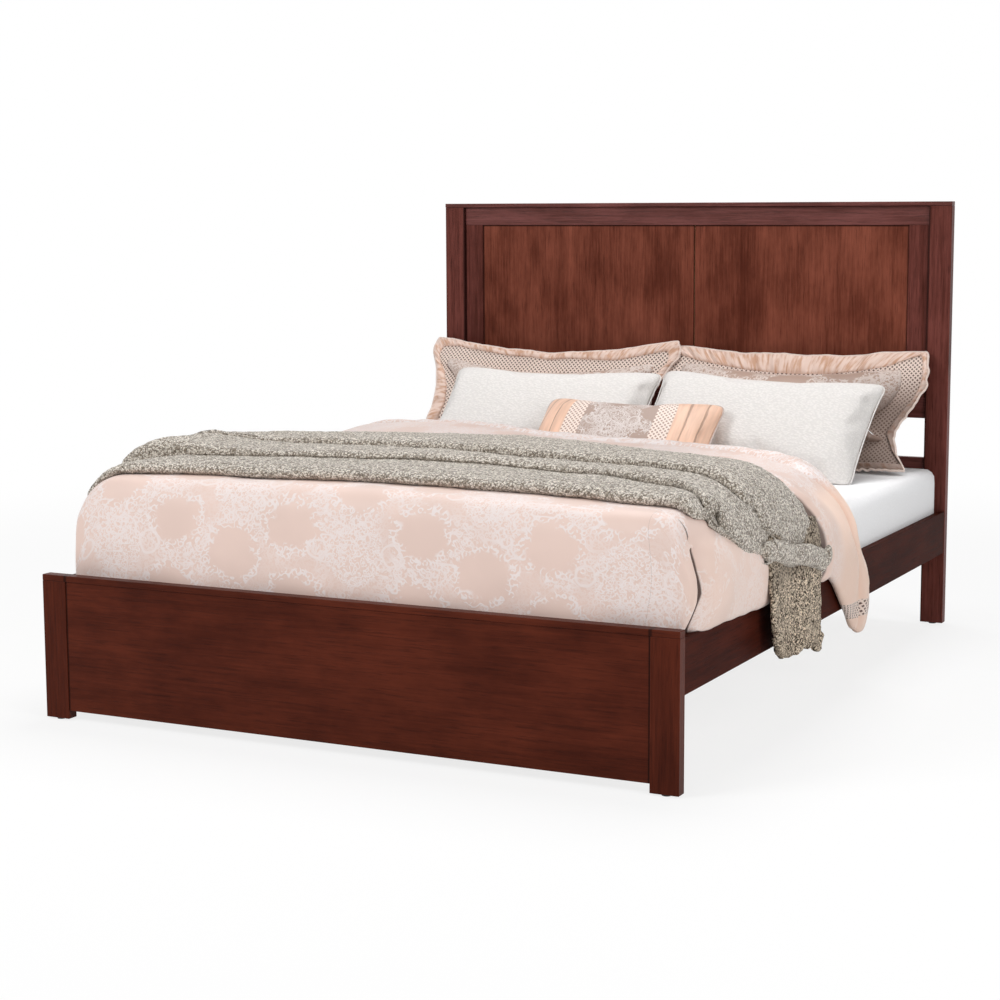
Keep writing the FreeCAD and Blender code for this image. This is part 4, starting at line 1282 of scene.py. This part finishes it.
BACK_EDGE = (
    (-1.03, -0.42), (-0.85, -0.4), (-0.6, -0.19), (-0.3, -0.11), (0.0, -0.11), (0.33, -0.17),
    (0.53, -0.24), (0.7, -0.31), (0.79, -0.335), (0.9, -0.29), (1.0, -0.22),
)
FIRST_CREASE = (
    (-0.85, 0.26), (-0.6, 0.24), (-0.3, 0.26), (0.0, 0.3), (0.2, 0.35), (0.41, 0.31), (0.66, 0.25),
    (0.76, 0.18), (0.84, 0.07),
)
SECOND_CREASE = (
    (-0.85, 0.56), (-0.6, 0.54), (-0.35, 0.54), (0.0, 0.5), (0.2, 0.48), (0.41, 0.49), (0.7, 0.44),
    (0.98, 0.46),
)
FRONT_SWELL = ((-1.0, 0.3), (-0.84, 0.35), (-0.74, 0.65), (-0.62, 1.0), (0.8, 1.0), (0.845, 0.3))
TUCKED_END = ((-1.0, 0.3), (-0.985, 0.62), (-0.965, 0.9), (-0.94, 1.0), (0.8, 1.0), (0.93, 0.6))
PUFFED_END = (
    (-0.9, 0.0), (-0.8, 0.3), (-0.74, 0.55), (-0.7, 0.6), (-0.66, 0.45), (-0.55, 0.15), (-0.45, 0.0),
)
SET_BACK = (
    (-0.93, 0.1), (-0.86, 0.08), (-0.83, 0.03), (-0.8, -0.01), (-0.76, -0.027), (-0.69, -0.04),
    (-0.62, -0.022), (-0.5, 0.0),
)
FOLD_STEPS = (3, 3, 4, 9, 8, 4, 4, 4, 7, 7, 4, 4, 4, 10, 10, 5, 4)
run = np.append(np.linspace(-1.0, 0.965, 240), CUFF_RUN)
front_edge = eased(read_off(np.maximum.accumulate(run), *FRONT_EDGE), 4)
front_edge = front_edge + 0.045 * hump(run, 0.842, 0.013)
back_edge = eased(read_off(run, *BACK_EDGE), 8)
first = eased(read_off(run, *FIRST_CREASE), 8)
second = eased(read_off(run, *SECOND_CREASE), 8)
slack = 1 + 0.16 * wave(run, 0.22, 2.5)
flat_end = ramp(run, 0.84, 0.08)
lip = (0.55 + 0.45 * np.clip(2 * wave(run, 0.3, 11.5), -1, 1)) * (1 - flat_end)
front_fold = 0.031 * slack * read_off(run, *FRONT_SWELL)
tucked_end = read_off(run, *TUCKED_END)
puffed_end = read_off(run, *PUFFED_END)
middle_fold = 0.043 * tucked_end * (1 - 0.5 * flat_end) * (1 + puffed_end)
back_fold = 0.057 * tucked_end * (1 + 0.1 * wave(run, 0.3, 7.5))
back_fold = back_fold * (1 - 0.55 * flat_end) * (1 + 0.1 * puffed_end)
still = np.ones_like(run)
share = flowing(
    [0.006 * still, -0.012 * still, -0.006 * still, 0.14 * first, 0.55 * first, 0.88 * first]
    + [first + 0.009 * lip, first - 0.007 * lip, first + 0.018, (first + second) / 2, second - 0.02]
    + [second + 0.009 * lip, second - 0.007 * lip, second + 0.022, 0.5 * second + 0.42]
    + [0.93 * still, 0.99 * still, still],
    FOLD_STEPS,
)
lift = flowing(
    [0.001 * still, 0.3 * front_fold, 0.72 * front_fold, front_fold, 1.06 * front_fold]
    + [0.92 * front_fold, front_fold - 0.014 * lip, front_fold + 0.001, middle_fold, middle_fold + 0.001]
    + [middle_fold - 0.003 * lip, middle_fold - 0.016 * lip, middle_fold + 0.001, back_fold]
    + [back_fold + 0.002, 0.7 * back_fold, 0.018 * still, 0.001 * still],
    FOLD_STEPS,
)
lift = lift + np.append(np.zeros(len(run) - len(CUFF_RISE)), CUFF_RISE)
slant = ramp(run, 0.6, 0.375) * 0.09
drawn_back = ramp(-run, 0.55, 0.45) ** 1.5 * 0.2
behind_front = ramp(share, first, 0.06)
set_back = eased(read_off(run, *SET_BACK), 4)
throw_y = front_edge + share * (back_edge - front_edge) + set_back * (1 - behind_front)
throw_x, throw_z = over_bed(run + slant * (share - 0.5) + drawn_back * behind_front, throw_y, lift)
throw_top = np.stack([throw_x, throw_y, throw_z], 2)
throw_inner = throw_top - grid_normals(throw_top) * KNIT
throw_uv = np.stack([np.broadcast_to(run, share.shape), share], 2)
upper = padded_mesh("throw_upper", looped_up(throw_top, 5), throw_inner, throw_uv, throw_wool)

HANG_START = 0.9
hang_across = np.linspace(0, 1, 60)[:, None]
hang_fall = np.linspace(0, 1, 46)[None, :]
rounded_corners = hump(hang_across, 0, 0.06) + hump(hang_across, 1, 0.06)
hang_end = 1.172 + 0.05 * hang_across - 0.03 * rounded_corners
hang_run = HANG_START + hang_fall * (hang_end - HANG_START)
hang_y = -0.607 + hang_across * 0.342 + 0.04 * hang_fall
rolled = hump(hang_fall, 1, 0.06)
hang_lift = 0.016 + 0.006 * np.sin(hang_across * 9.0 + hang_fall * 2.0) + 0.009 * rolled
hang_x, hang_z = over_bed(hang_run, hang_y, hang_lift)
hang_top = looped_up(np.stack([hang_x, np.broadcast_to(hang_y, hang_x.shape), hang_z], 2), 8)
hang_inner = hang_top - grid_normals(hang_top) * (KNIT + 0.012 * rolled)[:, :, None]
hanging_end = padded_mesh("throw_under", hang_top, hang_inner, hang_top[:, :, 1:], reverse_wool_in_shade)
throw = joined([upper, hanging_end], "throw_folded")
settle(throw, "throw")

# Studio: a pale floor and a sky that both show as white, three soft lamps, and the camera at the
# photograph's viewpoint.

FLOOR_REACH = 40.0
floor_corners = [(x * FLOOR_REACH, y * FLOOR_REACH, 0) for x, y in ((-1, -1), (1, -1), (1, 1), (-1, 1))]
floor_mesh = bpy.data.meshes.new("studio_floor")
floor_mesh.from_pydata(floor_corners, [], [(0, 1, 2, 3)])
floor = placed("studio_floor", floor_mesh)
pale_floor = Finish("pale_floor", Base_Color=(0.9, 0.9, 0.9, 1.0), Roughness=0.9, Specular_IOR_Level=0.0)
paths = pale_floor.tree.nodes.new("ShaderNodeLightPath")
seen = Tone(pale_floor, paths.outputs["Is Camera Ray"])
for kind in ("Is Glossy Ray", "Is Transmission Ray"):
    seen = seen.high_of(Tone(pale_floor, paths.outputs[kind]))
glow = pale_floor.tree.nodes.new("ShaderNodeEmission")
mix = pale_floor.tree.nodes.new("ShaderNodeMixShader")
x, y, z = pale_floor.parts(pale_floor.place())
far = ((x * x + y * y) ** 0.5).rise(1.5, 4.5)
pale_floor.tree.links.new((seen * (far * 0.2 + 0.8)).socket, mix.inputs[0])
pale_floor.tree.links.new(pale_floor.shader.outputs[0], mix.inputs[1])
pale_floor.tree.links.new(glow.outputs[0], mix.inputs[2])
pale_floor.tree.links.new(mix.outputs[0], pale_floor.tree.nodes["Material Output"].inputs[0])
floor_mesh.materials.append(pale_floor.material)

world = bpy.data.worlds.new("studio")
world.use_nodes = True
bpy.context.scene.world = world
sky = world.node_tree.nodes["Background"]
sky_paths = world.node_tree.nodes.new("ShaderNodeLightPath")
sky_seen = world.node_tree.nodes.new("ShaderNodeMath")
sky_seen.operation = "MAXIMUM"
world.node_tree.links.new(sky_paths.outputs["Is Camera Ray"], sky_seen.inputs[0])
world.node_tree.links.new(sky_paths.outputs["Is Glossy Ray"], sky_seen.inputs[1])
AMBIENT = 0.24
level = world.node_tree.nodes.new("ShaderNodeMapRange")
level.inputs["To Min"].default_value = AMBIENT
level.inputs["To Max"].default_value = 1.0
world.node_tree.links.new(sky_seen.outputs[0], level.inputs[0])
world.node_tree.links.new(level.outputs[0], sky.inputs["Strength"])
sky.inputs["Color"].default_value = (1.0, 1.0, 1.0, 1.0)


def soft_lamp(name, place, target, size, watts):
    """A square lamp that faces a target."""
    lamp = bpy.data.lights.new(name, "AREA")
    lamp.size = size
    lamp.energy = watts
    holder = placed(name, lamp)
    holder.location = place
    holder.rotation_euler = (Vector(target) - Vector(place)).to_track_quat("-Z", "Y").to_euler()


soft_lamp("key_lamp", (-2.6, -4.6, 3.9), (0.0, 0.0, 0.5), size=2.4, watts=175)
soft_lamp("fill_lamp", (4.4, -2.2, 2.4), (0.0, 0.0, 0.5), size=2.5, watts=95)
soft_lamp("top_lamp", (0.0, 1.2, 4.4), (0.0, 0.0, 0.4), size=2.5, watts=120)

CAMERA_PLACE = (2.43355, -5.08825, 1.22528)
YAW, PITCH, ROLL = (math.radians(a) for a in (26.6434, 7.8104, -0.2352))
forward = Vector((-math.sin(YAW) * math.cos(PITCH), math.cos(YAW) * math.cos(PITCH), -math.sin(PITCH)))
level_right = Vector((math.cos(YAW), math.sin(YAW), 0.0))
level_up = level_right.cross(forward)
right = math.cos(ROLL) * level_right + math.sin(ROLL) * level_up
up = -math.sin(ROLL) * level_right + math.cos(ROLL) * level_up
camera = placed("camera", bpy.data.cameras.new("camera"))
camera.data.sensor_width = 36.0
camera.data.lens = 76.75
turned = Matrix((right, up, -forward)).transposed().to_4x4()
camera.matrix_world = Matrix.Translation(CAMERA_PLACE) @ turned
bpy.context.scene.camera = camera
bpy.context.scene.view_settings.view_transform = "Standard"
